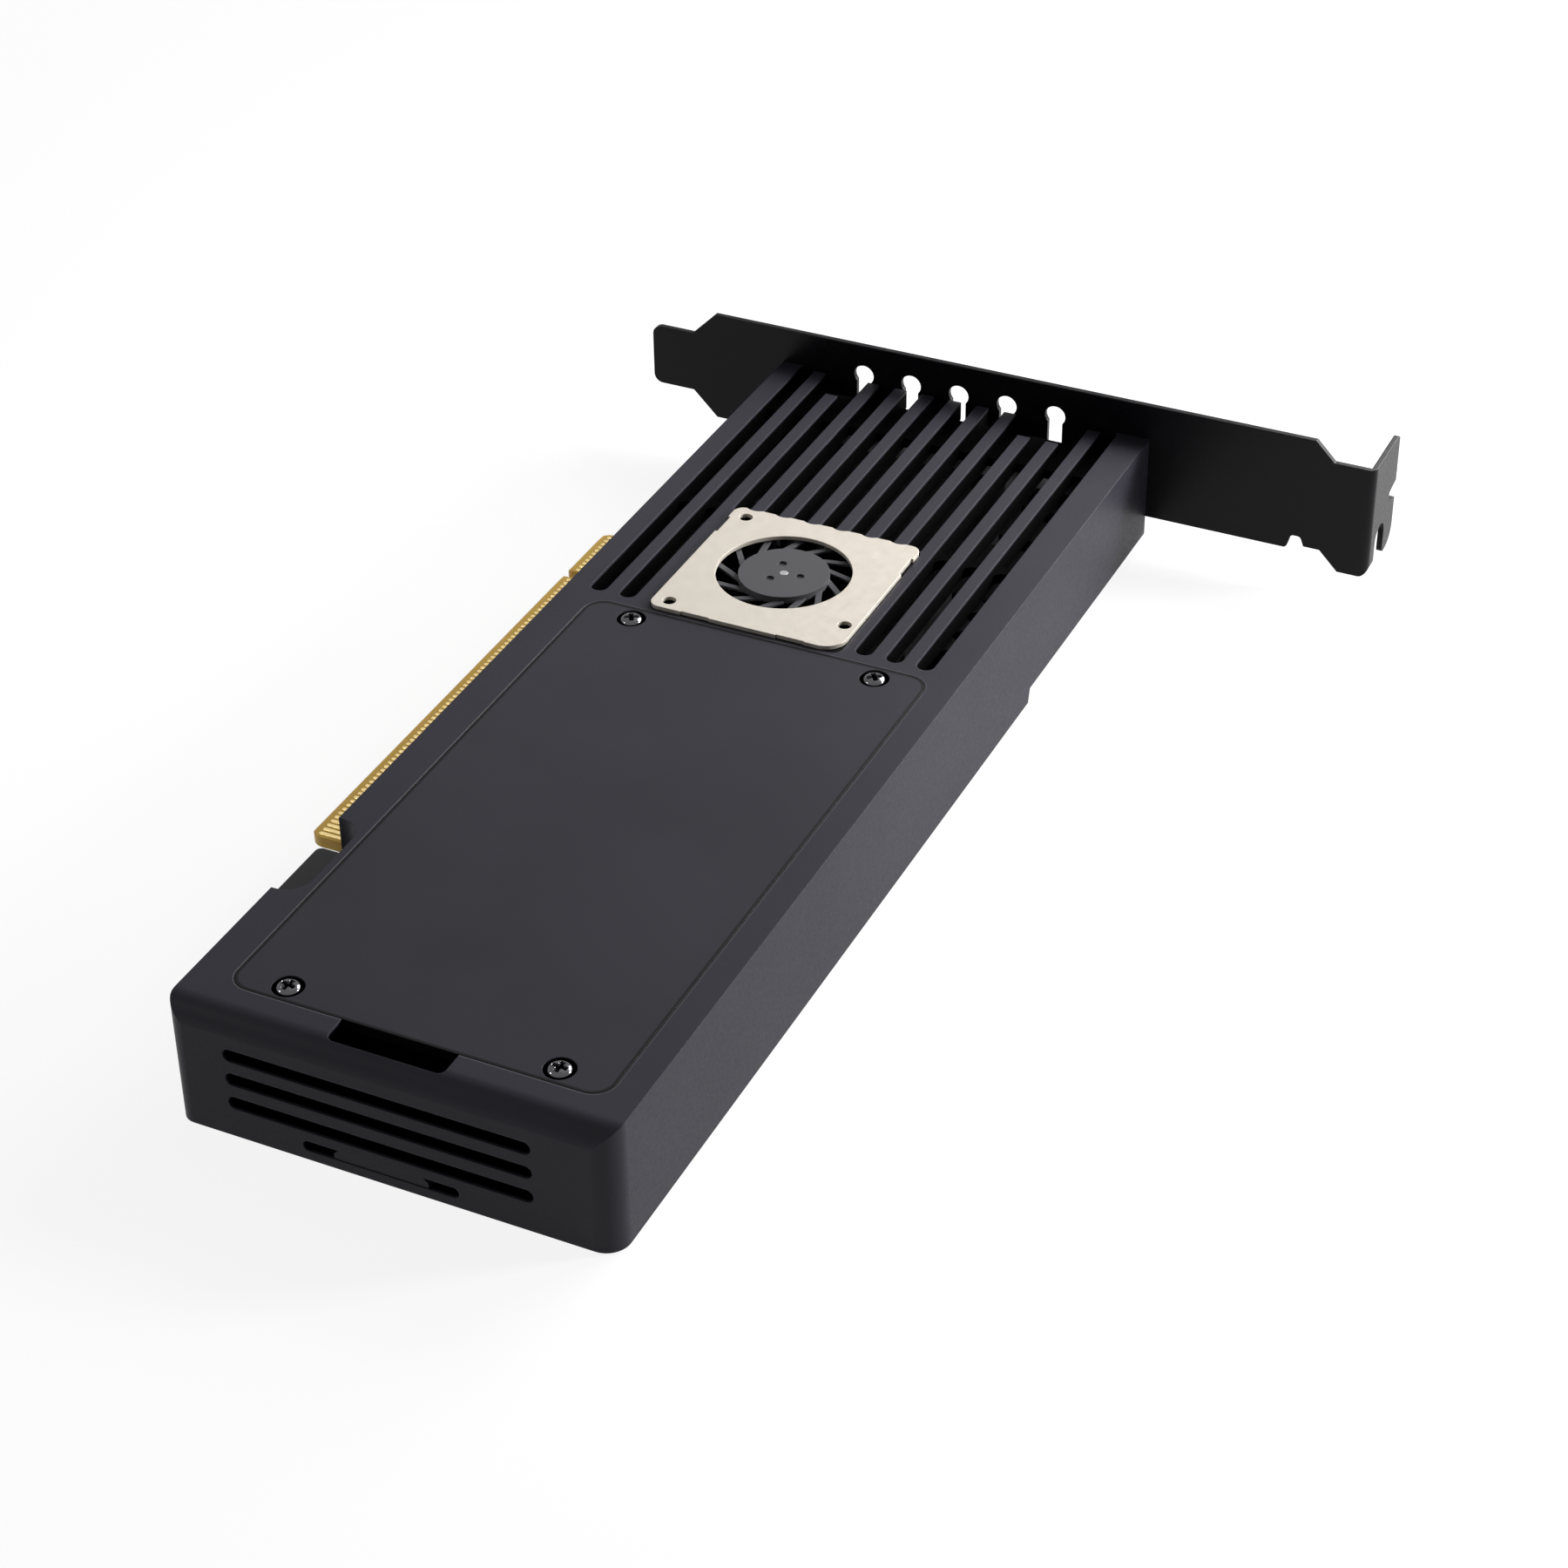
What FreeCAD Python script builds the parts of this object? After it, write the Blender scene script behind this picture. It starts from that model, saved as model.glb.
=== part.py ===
import FreeCAD, Part
import math
import os
import re
import Sketcher

V = FreeCAD.Vector
os.makedirs("parts", exist_ok=True)
doc = FreeCAD.newDocument("adapter_card")

# Sizes in millimetres. X runs from the bracket's inner face to the free end, Y from the connector
# side to the long plain side, Z up from the underside to the fan side.
SIZES = [
    ("case_length", 177.0, "bracket's inner face to the free end"),
    ("case_width", 61.5, "connector side to plain side"),
    ("case_height", 18.8, "underside to top"),
    ("roof", 3.0, "thickness of the top wall"),
    ("wall", 1.6, "side and end walls"),
    ("corner_round", 3.2, "upright corner of the free end, plain side"),
    ("corner_small", 2.2, "upright corner of the free end, connector side"),
    ("nose_round", 3.0, "rounding along the top of the free end"),
    ("rear_lift", 2.2, "how far the underside steps up near the bracket"),
    ("step_start", 47.4, "where the step ends, from the bracket"),
    ("step_run", 0.6, "length of the step's slope"),
    ("play", 0.1, "gap between parts that slide together"),
    ("board_top", 9.9, "component face of the board above the underside"),
    ("board_thick", 1.57, "board"),
    ("board_rear", 1.0, "board's end from the bracket"),
    ("board_gap", 0.2, "board's edge to the walls"),
    ("board_corner", 2.4, "cut corners of the board"),
    ("finger_reach", 9.0, "edge connector past the case side"),
    ("key_from_bracket", 57.8, "centre of the key notch"),
    ("key_wide", 1.7, "key notch"),
    ("key_deep", 7.5, "key notch"),
    ("key_soft", 0.8, "outer corners of the key notch"),
    ("short_edge", 11.65, "edge connector between bracket side and key"),
    ("long_edge", 71.65, "edge connector past the key"),
    ("tip_round", 2.2, "outer corners of the edge connector"),
    ("tip_bevel", 0.5, "bevel at the tip of the edge connector"),
    ("latch_gap", 1.9, "between edge connector and latch hook"),
    ("hook_length", 18.6, "latch hook"),
    ("hook_reach", 6.1, "latch hook past the case side"),
    ("hook_slope", 2.6, "slanted back of the latch hook"),
    ("hook_soft", 0.9, "hook's front corner"),
    ("slit_floor", 0.6, "inner end of the latch gap, outside the case side"),
    ("pad_pitch", 1.0, "contacts"),
    ("pad_wide", 0.7, "contacts"),
    ("pad_length", 5.6, "contacts"),
    ("pad_from_tip", 0.95, "contacts"),
    ("pad_thick", 0.05, "contacts"),
    ("pad_at_key", 1.5, "first contact's centre from the key's centre"),
    ("bay_from_hook", 3.6, "notch in the case over the latch hook, from the hook's start"),
    ("bay_long", 16.4, "notch in the case over the latch hook"),
    ("bay_deep", 4.0, "notch in the case over the latch hook"),
    ("bay_round", 3.4, "inner corners of that notch"),
    ("slot_margin", 6.3, "last slot's centre from the plain side"),
    ("slot_wide", 2.6, "vent slots"),
    ("slot_first", 4.6, "first slot's centre from the connector side"),
    ("slot_short_by", 2.35, "long slots end short of the fan's far side"),
    ("rib_gap", 0.9, "ribs stop short of the bracket"),
    ("rib_relief", 6.8, "three ribs stop further back"),
    ("bar_depth", 1.5, "cross bars under the ribs"),
    ("bar_wide", 3.0, "front cross bar"),
    ("bar_start", 3.8, "rear cross bar"),
    ("rear_bar_wide", 8.7, "rear cross bar"),
    ("fan_side", 29.6, "fan, square"),
    ("fan_x", 58.95, "fan's centre"),
    ("fan_shift", 0.55, "fan's centre off the middle vent slot"),
    ("fan_round", 1.6, "fan's corners"),
    ("plate_round", 3.2, "fan plate's corner that points to the plain side and the free end"),
    ("fan_play", 0.12, "fan to the opening in the top"),
    ("fan_plate", 0.6, "cover plate of the fan"),
    ("fan_floor", 0.7, "floor of the fan's frame"),
    ("fan_wall", 0.9, "wall of the fan's frame"),
    ("inlet_round", 9.85, "air inlet radius"),
    ("inlet_off_x", -0.8, "inlet and impeller off the fan's centre"),
    ("inlet_off_y", -0.75, "inlet and impeller off the fan's centre"),
    ("fan_hole", 1.0, "holes in the fan plate, radius"),
    ("fan_thread", 0.9, "tapped holes in the fan's frame, radius"),
    ("fan_post", 1.7, "posts in the fan's frame, radius"),
    ("fan_hole_in", 2.5, "two fan holes from the fan's edges"),
    ("fan_hole_edge", 2.0, "second fan hole from the far edge"),
    ("fan_hole_far", 6.25, "third fan hole from the far edge"),
    ("fan_hole_rim", 1.8, "third fan hole from the plain side's edge"),
    ("outlet_margin", 5.0, "fan outlet from the frame's corners"),
    ("notch_deep", 0.35, "side notches in the fan plate"),
    ("notch_long", 4.4, "notches in the fan plate"),
    ("notch_from", 3.3, "side notches from the fan plate's corner"),
    ("notch_shallow", 0.15, "front notches in the fan plate"),
    ("notch_apart", 10.4, "between the front notches"),
    ("rib_bite", 2.25, "bites where ribs meet the fan plate, radius"),
    ("hub_round", 6.6, "impeller hub radius"),
    ("hub_drop", 0.15, "hub's top below the plate's top"),
    ("hub_roof", 0.8, "hub's top wall"),
    ("hub_wall", 0.7, "hub's side wall"),
    ("hub_base_gap", 0.4, "hub above the frame's floor"),
    ("blade_round", 12.6, "impeller radius over the blades"),
    ("blade_tangent", 5.7, "circle that the blades run tangent to"),
    ("blade_thick", 0.85, "blades"),
    ("blade_drop", 0.25, "blades below the fan's cover plate"),
    ("blade_base_gap", 0.7, "blades above the frame's floor"),
    ("blade_count", 13, "blades"),
    ("dimple_ring", 2.5, "dimples in the hub, ring radius"),
    ("dimple_round", 0.65, "dimples, radius"),
    ("dimple_deep", 0.3, "dimples"),
    ("magnet_thick", 0.35, "rotor magnet ring"),
    ("magnet_lift", 0.75, "magnet ring above the hub's lower rim"),
    ("spindle_round", 0.6, "impeller shaft radius"),
    ("spindle_play", 0.03, "running gap of the shaft"),
    ("bearing_round", 2.2, "bearing tube radius"),
    ("hub_clear", 0.85, "hub's roof above the bearing tube"),
    ("spindle_seat", 0.3, "floor of the bearing tube"),
    ("spindle_gap", 0.2, "shaft's end above that floor"),
    ("stator_round", 5.25, "stator radius"),
    ("stator_drop", 0.4, "stator below the bearing tube's top"),
    ("stator_lift", 0.9, "stator above the frame's floor"),
    ("chip_side", 27.0, "switch chip"),
    ("chip_tall", 1.6, "switch chip"),
    ("paste_thick", 0.4, "heat pad on the chip"),
    ("sink_base", 1.5, "heat sink base"),
    ("sink_rear", 12.0, "heat sink's end near the bracket"),
    ("fin_start", 17.5, "heat sink fins"),
    ("fin_gap", 0.2, "fins below the ribs"),
    ("fin_thick", 1.0, "heat sink fins"),
    ("ear_from_fan", 3.05, "heat sink ears from the fan's centre"),
    ("ear_wide", 8.0, "heat sink ears"),
    ("ear_reach", 5.0, "heat sink ears past its sides"),
    ("sink_screw_in", 2.2, "heat sink screws from its end"),
    ("sink_screw_side", 3.2, "rear heat sink screws from its sides"),
    ("lid_from_fan", 0.85, "access cover recess from the fan"),
    ("lid_from_end", 5.7, "access cover recess from the free end"),
    ("lid_low", 5.2, "access cover recess, connector side"),
    ("lid_margin", 4.0, "access cover recess from the plain side"),
    ("lid_round", 3.0, "access cover corners"),
    ("lid_thick", 1.5, "top access cover"),
    ("ledge_side", 2.8, "ledge under the cover, long sides"),
    ("ledge_end", 6.0, "ledge under the cover, ends"),
    ("lid_screw_end", 2.75, "cover screws from the recess's ends"),
    ("lid_screw_side", 7.45, "cover screws from the recess's long sides"),
    ("sink_hole", 2.1, "counterbore radius"),
    ("head_round", 1.75, "screw head radius"),
    ("head_tall", 0.85, "screw head"),
    ("head_chamfer", 0.3, "screw head"),
    ("shank_round", 0.95, "screw shank radius"),
    ("thread_hole", 1.0, "tapped hole radius"),
    ("pass_hole", 1.1, "hole a screw passes"),
    ("scoop_shift", 0.85, "finger scoop off the middle of the case"),
    ("scoop_wide", 16.2, "finger scoop"),
    ("scoop_long", 3.8, "finger scoop"),
    ("scoop_deep", 2.2, "finger scoop"),
    ("scoop_soft", 1.0, "finger scoop's far corners"),
    ("grille_low", 7.9, "slots in the free end"),
    ("grille_margin", 11.15, "slots in the free end from the plain side"),
    ("grille_tall", 1.95, "slots in the free end"),
    ("grille_first", 5.45, "lowest slot's centre height"),
    ("grille_pitch", 3.73, "slots in the free end"),
    ("latch_shift", 1.6, "tongue and its slot off the middle of the case"),
    ("latch_wide", 21.8, "slot for the bottom cover's tongue"),
    ("latch_base", 1.4, "slot for the tongue, lower edge"),
    ("latch_tall", 1.6, "slot for the tongue"),
    ("tongue_long_side", 13.2, "bottom cover's tongue"),
    ("tongue_thick", 1.4, "bottom cover's tongue"),
    ("tongue_back", 0.1, "tongue's end behind the case's end face"),
    ("tongue_root", 3.2, "tongue's root on the bottom cover"),
    ("floor", 2.0, "base plate"),
    ("hatch_thick", 1.2, "bottom access cover"),
    ("hatch_sink", 0.75, "counterbore in the bottom access cover"),
    ("hatch_head", 0.65, "bottom cover screw head"),
    ("post_round", 2.0, "posts that clamp the board"),
    ("post_back", 1.4, "near posts from the cover recess"),
    ("post_from_end", 3.9, "far posts from the free end"),
    ("post_inset", 4.2, "posts from the long sides"),
    ("post_sink", 1.2, "counterbore for the case screws"),
    ("post_skin", 1.0, "closed end of a tapped post or block"),
    ("screw_out", 0.6, "screw tips past what they hold"),
    ("screw_bite", 3.0, "case screws into the posts"),
    ("boss_long", 7.0, "blocks for the bracket screws"),
    ("boss_wide", 4.4, "blocks for the bracket screws"),
    ("boss_lift", 13.2, "bracket screw height"),
    ("boss_inset", 3.7, "bracket screws from the case sides"),
    ("sunk_head", 1.9, "bracket screws' sunk heads, radius"),
    ("sheet", 0.86, "bracket sheet"),
    ("bracket_long", 120.02, "bracket, tongue tip to tab"),
    ("bracket_wide", 18.42, "bracket"),
    ("bracket_low", 6.1, "bracket's lower edge"),
    ("bracket_drop", 0.8, "the edge lies lower along the case"),
    ("tip_beyond", 23.1, "bracket's tongue past the case side"),
    ("tongue_wide", 10.19, "bracket's tongue"),
    ("bracket_tip", 7.1, "bracket's tongue"),
    ("taper", 4.11, "bracket's taper to the tongue"),
    ("tip_soft", 1.5, "rounded tongue corners"),
    ("bend_round", 1.3, "outside of the bend"),
    ("tab_soft", 0.6, "small corners of the tab"),
    ("leg_soft", 0.9, "inner corner of the tab's outer leg"),
    ("leg_round", 3.0, "outer corner of the tab's outer leg"),
    ("leg_rise", 0.6, "outer leg shorter than the inner"),
    ("tab_deep", 11.43, "screw tab"),
    ("tab_shift", 3.1, "screw tab below the bracket's edges"),
    ("tab_neck", 9.4, "straight part before the tab"),
    ("tab_taper", 3.0, "slope to the tab's edges"),
    ("tab_lag", 1.8, "lower slope starts further out than the upper"),
    ("nick_from_tab", 11.45, "nick in the lower edge"),
    ("nick_wide", 2.7, "nick in the lower edge"),
    ("nick_deep", 1.55, "nick above the lower edge"),
    ("nick_soft", 0.65, "nick's corners"),
    ("nick_lean", 0.6, "nick's slanted sides"),
    ("screw_slot", 4.42, "open slot in the tab"),
    ("slot_from_face", 5.5, "open slot's centre from the bracket's inner face"),
    ("slot_top", 9.4, "open slot's closed end"),
    ("bite_high", 13.7, "notch in the tab's edge"),
    ("bite_low", 10.7, "notch in the tab's edge"),
    ("bite_deep", 3.2, "notch in the tab's edge"),
    ("bite_lean", 0.6, "notch's slanted sides"),
    ("bite_soft", 0.5, "notch's inner corners"),
    ("vent_first", 14.0, "keyhole vents"),
    ("vent_pitch", 8.03, "keyhole vents"),
    ("vent_round", 1.65, "keyhole vents, radius"),
    ("vent_neck", 2.4, "keyhole vents, straight part"),
    ("vent_top", 19.4, "upper round of the vents"),
    ("vent_low", 10.2, "lower round of the vents"),
    ("socket_from_lid", 3.8, "drive sockets from the cover recess"),
    ("socket_long", 8.2, "drive sockets"),
    ("socket_wide", 21.9, "drive sockets"),
    ("socket_clear", 1.7, "drive sockets below the roof"),
    ("socket_slot", 1.0, "drive sockets"),
    ("socket_mouth", 5.6, "drive sockets"),
    ("socket_side", 1.0, "drive sockets' side walls"),
    ("drive_pitch", 23.2, "between the two drives of a side"),
    ("drive_from_end", 14.4, "standoffs from the free end"),
    ("standoff_round", 2.4, "standoffs"),
    ("standoff_tall", 2.45, "standoffs"),
    ("drive_head_round", 2.6, "drive screw head"),
    ("drive_head_tall", 0.8, "drive screw head"),
    ("bore_floor", 0.2, "closed end of a standoff"),
    ("drive_screw_in", 0.4, "drive screw's tip above the board"),
    ("heatpad_near", 4.4, "heat pads from the sockets"),
    ("heatpad_side", 1.75, "heat pads from the sides of the cover's opening"),
    ("heatpad_far", 5.6, "heat pads from the standoffs"),
    ("heatpad_above", 4.7, "heat pads above the board"),
    ("coil_side", 6.0, "power inductors"),
    ("coil_tall", 3.0, "power inductors"),
    ("coil_first", 14.0, "power inductors and regulators"),
    ("coil_pitch", 9.0, "power inductors"),
    ("coil_inset", 10.9, "power inductors from the plain side"),
    ("regulator_side", 5.0, "regulators"),
    ("regulator_tall", 1.0, "regulators"),
    ("regulator_line", 8.4, "regulators"),
    ("can_round", 2.1, "capacitors, radius"),
    ("can_clear", 1.5, "capacitors below the roof"),
    ("can_first", 48.0, "capacitors"),
    ("can_pitch", 5.4, "capacitors"),
    ("can_inset", 9.35, "capacitors from the plain side"),
    ("header_x", 52.4, "fan header"),
    ("header_y", 8.4, "fan header"),
    ("header_long", 5.0, "fan header"),
    ("header_wide", 3.2, "fan header"),
    ("header_tall", 3.4, "fan header"),
    ("header_shell", 0.6, "fan header's walls"),
    ("header_floor", 1.0, "fan header's floor"),
    ("clock_x", 6.0, "oscillator"),
    ("clock_y", 20.0, "oscillator"),
    ("clock_long", 3.2, "oscillator"),
    ("clock_wide", 2.5, "oscillator"),
    ("clock_tall", 0.8, "oscillator"),
    ("memory_x", 6.0, "firmware memory"),
    ("memory_y", 34.0, "firmware memory"),
    ("memory_side", 5.2, "firmware memory"),
    ("memory_tall", 1.6, "firmware memory"),
]
S = doc.addObject("Spreadsheet::Sheet", "Sizes")
for row, (alias, value, note) in enumerate(SIZES, 1):
    S.set(f"A{row}", alias)
    S.set(f"B{row}", str(value))
    S.set(f"C{row}", note)
    S.setAlias(f"B{row}", alias)
doc.recompute()
NAMES = {alias for alias, _, _ in SIZES}


def ex(text):
    """Turn plain size names into references to the sheet."""
    return re.sub(r"[a-z_]+", lambda m: ("Sizes." if m.group(0) in NAMES else "") + m.group(0), str(text))


def num(text):
    """Present value of an expression, for starting geometry."""
    got = S.evalExpression(ex(text).replace("Sizes.", ""))
    return float(getattr(got, "Value", got))


def bind(obj, path, text):
    obj.setExpression(path, ex(text))


# The stored origin is the middle of the footprint, so every piece is shifted by this much.
SHIFT_X = "-(case_length - tab_deep - sheet) / 2"
SHIFT_Y = "-(bracket_long / 2 - tip_beyond)"
NODES = []


def finish(obj, name, x="0", y="0", z="0"):
    """Name a piece for its file and put it in the stored frame."""
    obj.Label = name
    bind(obj, "Placement.Base.x", f"{x} + {SHIFT_X}")
    bind(obj, "Placement.Base.y", f"{y} + {SHIFT_Y}")
    bind(obj, "Placement.Base.z", z)
    NODES.append(obj)
    return obj


def body(name):
    return doc.addObject("PartDesign::Body", name)


def part_of(origin, role):
    return [o for o in origin.OriginFeatures if o.Role == role][0]


def sketch(host, name, plane, at):
    """Sketch on an origin plane of a body. at is the height along +Z, +Y or +X."""
    sk = host.newObject("Sketcher::SketchObject", name)
    sk.AttachmentSupport = [(part_of(host.Origin, plane + "_Plane"), "")]
    sk.MapMode = "FlatFace"
    bind(sk, "AttachmentOffset.Base.z", f"-({at})" if plane == "XZ" else at)
    return sk


def fix(sk, geo, pos, x, y):
    """Tie a sketch point to two expressions."""
    for kind, text in (("DistanceX", x), ("DistanceY", y)):
        c = sk.addConstraint(Sketcher.Constraint(kind, -1, 1, geo, pos, num(text)))
        sk.setExpression(f"Constraints[{c}]", ex(text))


def loop(sk, points):
    """Closed outline through (x, y) or (x, y, corner radius)."""
    pts = [V(num(p[0]), num(p[1]), 0) for p in points]
    rad = [p[2] if len(p) > 2 else None for p in points]
    n = len(pts)
    start, end, arcs = [None] * n, [None] * n, {}
    for i in range(n):
        if rad[i] is None:
            start[i], end[i - 1] = pts[i], pts[i]
            continue
        r = num(rad[i])
        a = (pts[i - 1] - pts[i]).normalize()
        b = (pts[(i + 1) % n] - pts[i]).normalize()
        half = a.getAngle(b) / 2
        t1, t2 = pts[i] + a * (r / math.tan(half)), pts[i] + b * (r / math.tan(half))
        c = pts[i] + (a + b).normalize() * (r / math.sin(half))
        start[i], end[i - 1] = t2, t1
        a1, a2 = math.atan2(t1.y - c.y, t1.x - c.x), math.atan2(t2.y - c.y, t2.x - c.x)
        ccw = a.cross(b).z < 0
        arcs[i] = (c, r, (a1, a2) if ccw else (a2, a1), ccw)
    base = sk.GeometryCount
    for i in range(n):
        sk.addGeometry(Part.LineSegment(start[i], end[i]))
    for i in range(n):
        nxt, prev = base + i, base + (i - 1) % n
        if rad[i] is None:
            sk.addConstraint(Sketcher.Constraint("Coincident", prev, 2, nxt, 1))
            fix(sk, nxt, 1, points[i][0], points[i][1])
            continue
        c, r, (a1, a2), ccw = arcs[i]
        if a2 < a1:
            a2 += 2 * math.pi
        g = sk.addGeometry(Part.ArcOfCircle(Part.Circle(c, V(0, 0, 1), r), a1, a2))
        first, last = (1, 2) if ccw else (2, 1)
        sk.addConstraint(Sketcher.Constraint("Tangent", prev, 2, g, first))
        sk.addConstraint(Sketcher.Constraint("Tangent", g, last, nxt, 1))
        k = sk.addConstraint(Sketcher.Constraint("Radius", g, r))
        sk.setExpression(f"Constraints[{k}]", ex(rad[i]))
        q = sk.addGeometry(Part.Point(pts[i]), True)
        fix(sk, q, 1, points[i][0], points[i][1])
        sk.addConstraint(Sketcher.Constraint("PointOnObject", q, 1, prev))
        sk.addConstraint(Sketcher.Constraint("PointOnObject", q, 1, nxt))
    return sk


def block(sk, x0, x1, y0, y1, r=None):
    tail = () if r is None else (r,)
    return loop(sk, [(x0, y0) + tail, (x1, y0) + tail, (x1, y1) + tail, (x0, y1) + tail])


def rings(sk, spots):
    """Circles at (x, y, radius)."""
    for x, y, r in spots:
        g = sk.addGeometry(Part.Circle(V(num(x), num(y), 0), V(0, 0, 1), num(r)))
        fix(sk, g, 3, x, y)
        k = sk.addConstraint(Sketcher.Constraint("Radius", g, num(r)))
        sk.setExpression(f"Constraints[{k}]", ex(r))
    return sk


def pill(sk, x0, y0, x1, y1, r):
    """Round-ended slot between two centres, along X or along Y."""
    a, b, rr = V(num(x0), num(y0), 0), V(num(x1), num(y1), 0), num(r)
    along = (b - a).normalize()
    side = V(-along.y, along.x, 0)
    ang, turn = math.atan2(along.y, along.x), math.pi / 2
    near, far = Part.Circle(a, V(0, 0, 1), rr), Part.Circle(b, V(0, 0, 1), rr)
    g0 = sk.addGeometry(Part.ArcOfCircle(near, ang + turn, ang + 3 * turn))
    g1 = sk.addGeometry(Part.LineSegment(a - side * rr, b - side * rr))
    g2 = sk.addGeometry(Part.ArcOfCircle(far, ang - turn, ang + turn))
    g3 = sk.addGeometry(Part.LineSegment(b + side * rr, a + side * rr))
    for p, q in ((g0, g1), (g1, g2), (g2, g3), (g3, g0)):
        sk.addConstraint(Sketcher.Constraint("Tangent", p, 2, q, 1))
    for g in (g0, g2):
        k = sk.addConstraint(Sketcher.Constraint("Radius", g, rr))
        sk.setExpression(f"Constraints[{k}]", ex(r))
    fix(sk, g0, 3, x0, y0)
    if abs(along.x) > abs(along.y):
        k = sk.addConstraint(Sketcher.Constraint("DistanceX", -1, 1, g2, 3, b.x))
        sk.setExpression(f"Constraints[{k}]", ex(x1))
        sk.addConstraint(Sketcher.Constraint("Horizontal", g1))
    else:
        k = sk.addConstraint(Sketcher.Constraint("DistanceY", -1, 1, g2, 3, b.y))
        sk.setExpression(f"Constraints[{k}]", ex(y1))
        sk.addConstraint(Sketcher.Constraint("Vertical", g1))
    return sk


def pad(host, sk, length, back=False):
    """Add material along +Z, +Y or +X of the sketch's plane, or the other way."""
    f = host.newObject("PartDesign::Pad", sk.Name + "_pad")
    f.Profile = sk
    bind(f, "Length", length)
    across = part_of(host.Origin, "XZ_Plane") == sk.AttachmentSupport[0][0]
    f.Reversed = across != back
    sk.Visibility = False
    return f


def cut(host, sk, depth=None, up=False):
    """Remove material: down from the sketch, or up (towards +Z, +Y or +X)."""
    f = host.newObject("PartDesign::Pocket", sk.Name + "_cut")
    f.Profile = sk
    across = part_of(host.Origin, "XZ_Plane") == sk.AttachmentSupport[0][0]
    f.Reversed = up != across
    if depth is None:
        f.Type = "ThroughAll"
    else:
        bind(f, "Length", depth)
    before = host.Shape.Volume
    doc.recompute()
    assert host.Shape.Volume < before - 1e-6, sk.Name + " cuts nothing"
    return f


def repeat(host, feature, axis, pitch, count):
    """Row of copies of a feature along a body axis."""
    f = host.newObject("PartDesign::LinearPattern", feature.Name + "_row")
    f.Originals = [feature]
    f.Direction = (part_of(host.Origin, axis + "_Axis"), [""])
    bind(f, "Length", f"{pitch} * ({count} - 1)")
    bind(f, "Occurrences", count)
    host.Tip = f
    doc.recompute()
    return f


def box(name, x0, x1, y0, y1, z0, z1):
    b = doc.addObject("Part::Box", name)
    for path, text in (("Placement.Base.x", x0), ("Placement.Base.y", y0), ("Placement.Base.z", z0),
                       ("Length", f"({x1}) - ({x0})"), ("Width", f"({y1}) - ({y0})"),
                       ("Height", f"({z1}) - ({z0})")):
        bind(b, path, text)
    return b


def rod(name, x, y, z0, z1, r):
    c = doc.addObject("Part::Cylinder", name)
    for path, text in (("Placement.Base.x", x), ("Placement.Base.y", y), ("Placement.Base.z", z0),
                       ("Radius", r), ("Height", f"({z1}) - ({z0})")):
        bind(c, path, text)
    return c


def minus(name, base, tools):
    t = tools[0]
    if len(tools) > 1:
        t = doc.addObject("Part::MultiFuse", name + "_tools")
        t.Shapes = tools
    c = doc.addObject("Part::Cut", name)
    c.Base, c.Tool = base, t
    return c


def plus(name, shapes):
    f = doc.addObject("Part::MultiFuse", name)
    f.Shapes = shapes
    return f


def group(name, shapes):
    """Loose solids kept as one piece of the part."""
    f = doc.addObject("Part::Compound", name + "_group")
    f.Links = shapes
    return finish(f, name)


def screw(name, x, y, seat, head_r, head_t, tip, up=1):
    """Screw along Z: head on the seat, chamfered, shank reaching to tip."""
    head_end = f"({seat}) + ({head_t})" if up > 0 else f"({seat}) - ({head_t})"
    mid = f"({seat}) + ({head_t}) - head_chamfer" if up > 0 else f"({seat}) - ({head_t}) + head_chamfer"
    lo, hi = (seat, mid) if up > 0 else (mid, seat)
    head = rod(name + "_head", x, y, lo, hi, head_r)
    top = doc.addObject("Part::Cone", name + "_top")
    for path, text in (("Placement.Base.x", x), ("Placement.Base.y", y),
                       ("Placement.Base.z", mid if up > 0 else head_end), ("Height", "head_chamfer"),
                       ("Radius1", head_r if up > 0 else f"{head_r} - head_chamfer"),
                       ("Radius2", f"{head_r} - head_chamfer" if up > 0 else head_r)):
        bind(top, path, text)
    lo, hi = (tip, seat) if up > 0 else (seat, tip)
    return plus(name, [head, top, rod(name + "_shank", x, y, lo, hi, "shank_round")])


# Places that several pieces share
BOARD_LOW = "(board_top - board_thick)"
UNDER_ROOF = "(case_height - roof)"
CHIP_TOP = "(board_top + chip_tall)"
SINK_BASE = f"({CHIP_TOP} + paste_thick)"
SINK_TOP = f"({SINK_BASE} + sink_base)"
LONG_LOW, SHORT, LONG_HIGH = 2, 7, 3
SLOTS = LONG_LOW + SHORT + LONG_HIGH
PITCH = f"((case_width - slot_first - slot_margin) / {SLOTS - 1})"
FAN_Y = f"(slot_first + {LONG_LOW + SHORT // 2} * {PITCH} + fan_shift)"
FAN_LOW_X, FAN_HIGH_X = "(fan_x - fan_side / 2)", "(fan_x + fan_side / 2)"
FAN_LOW_Y, FAN_HIGH_Y = f"({FAN_Y} - fan_side / 2)", f"({FAN_Y} + fan_side / 2)"
LID_START, LID_END = f"({FAN_HIGH_X} + lid_from_fan)", "(case_length - lid_from_end)"
LID_HIGH = "(case_width - lid_margin)"
FIRST_EDGE = "(key_from_bracket - key_wide / 2 - short_edge)"
LAST_EDGE = "(key_from_bracket + key_wide / 2 + long_edge)"
HOOK = f"({LAST_EDGE} + latch_gap)"
BAY_START = f"({HOOK} + bay_from_hook)"
BAY_END = f"({BAY_START} + bay_long)"
LATCH_MID = "(case_width / 2 - latch_shift)"
TONGUE_LOW, TONGUE_HIGH = f"({LATCH_MID} - tongue_long_side / 2)", f"({LATCH_MID} + tongue_long_side / 2)"
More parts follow.
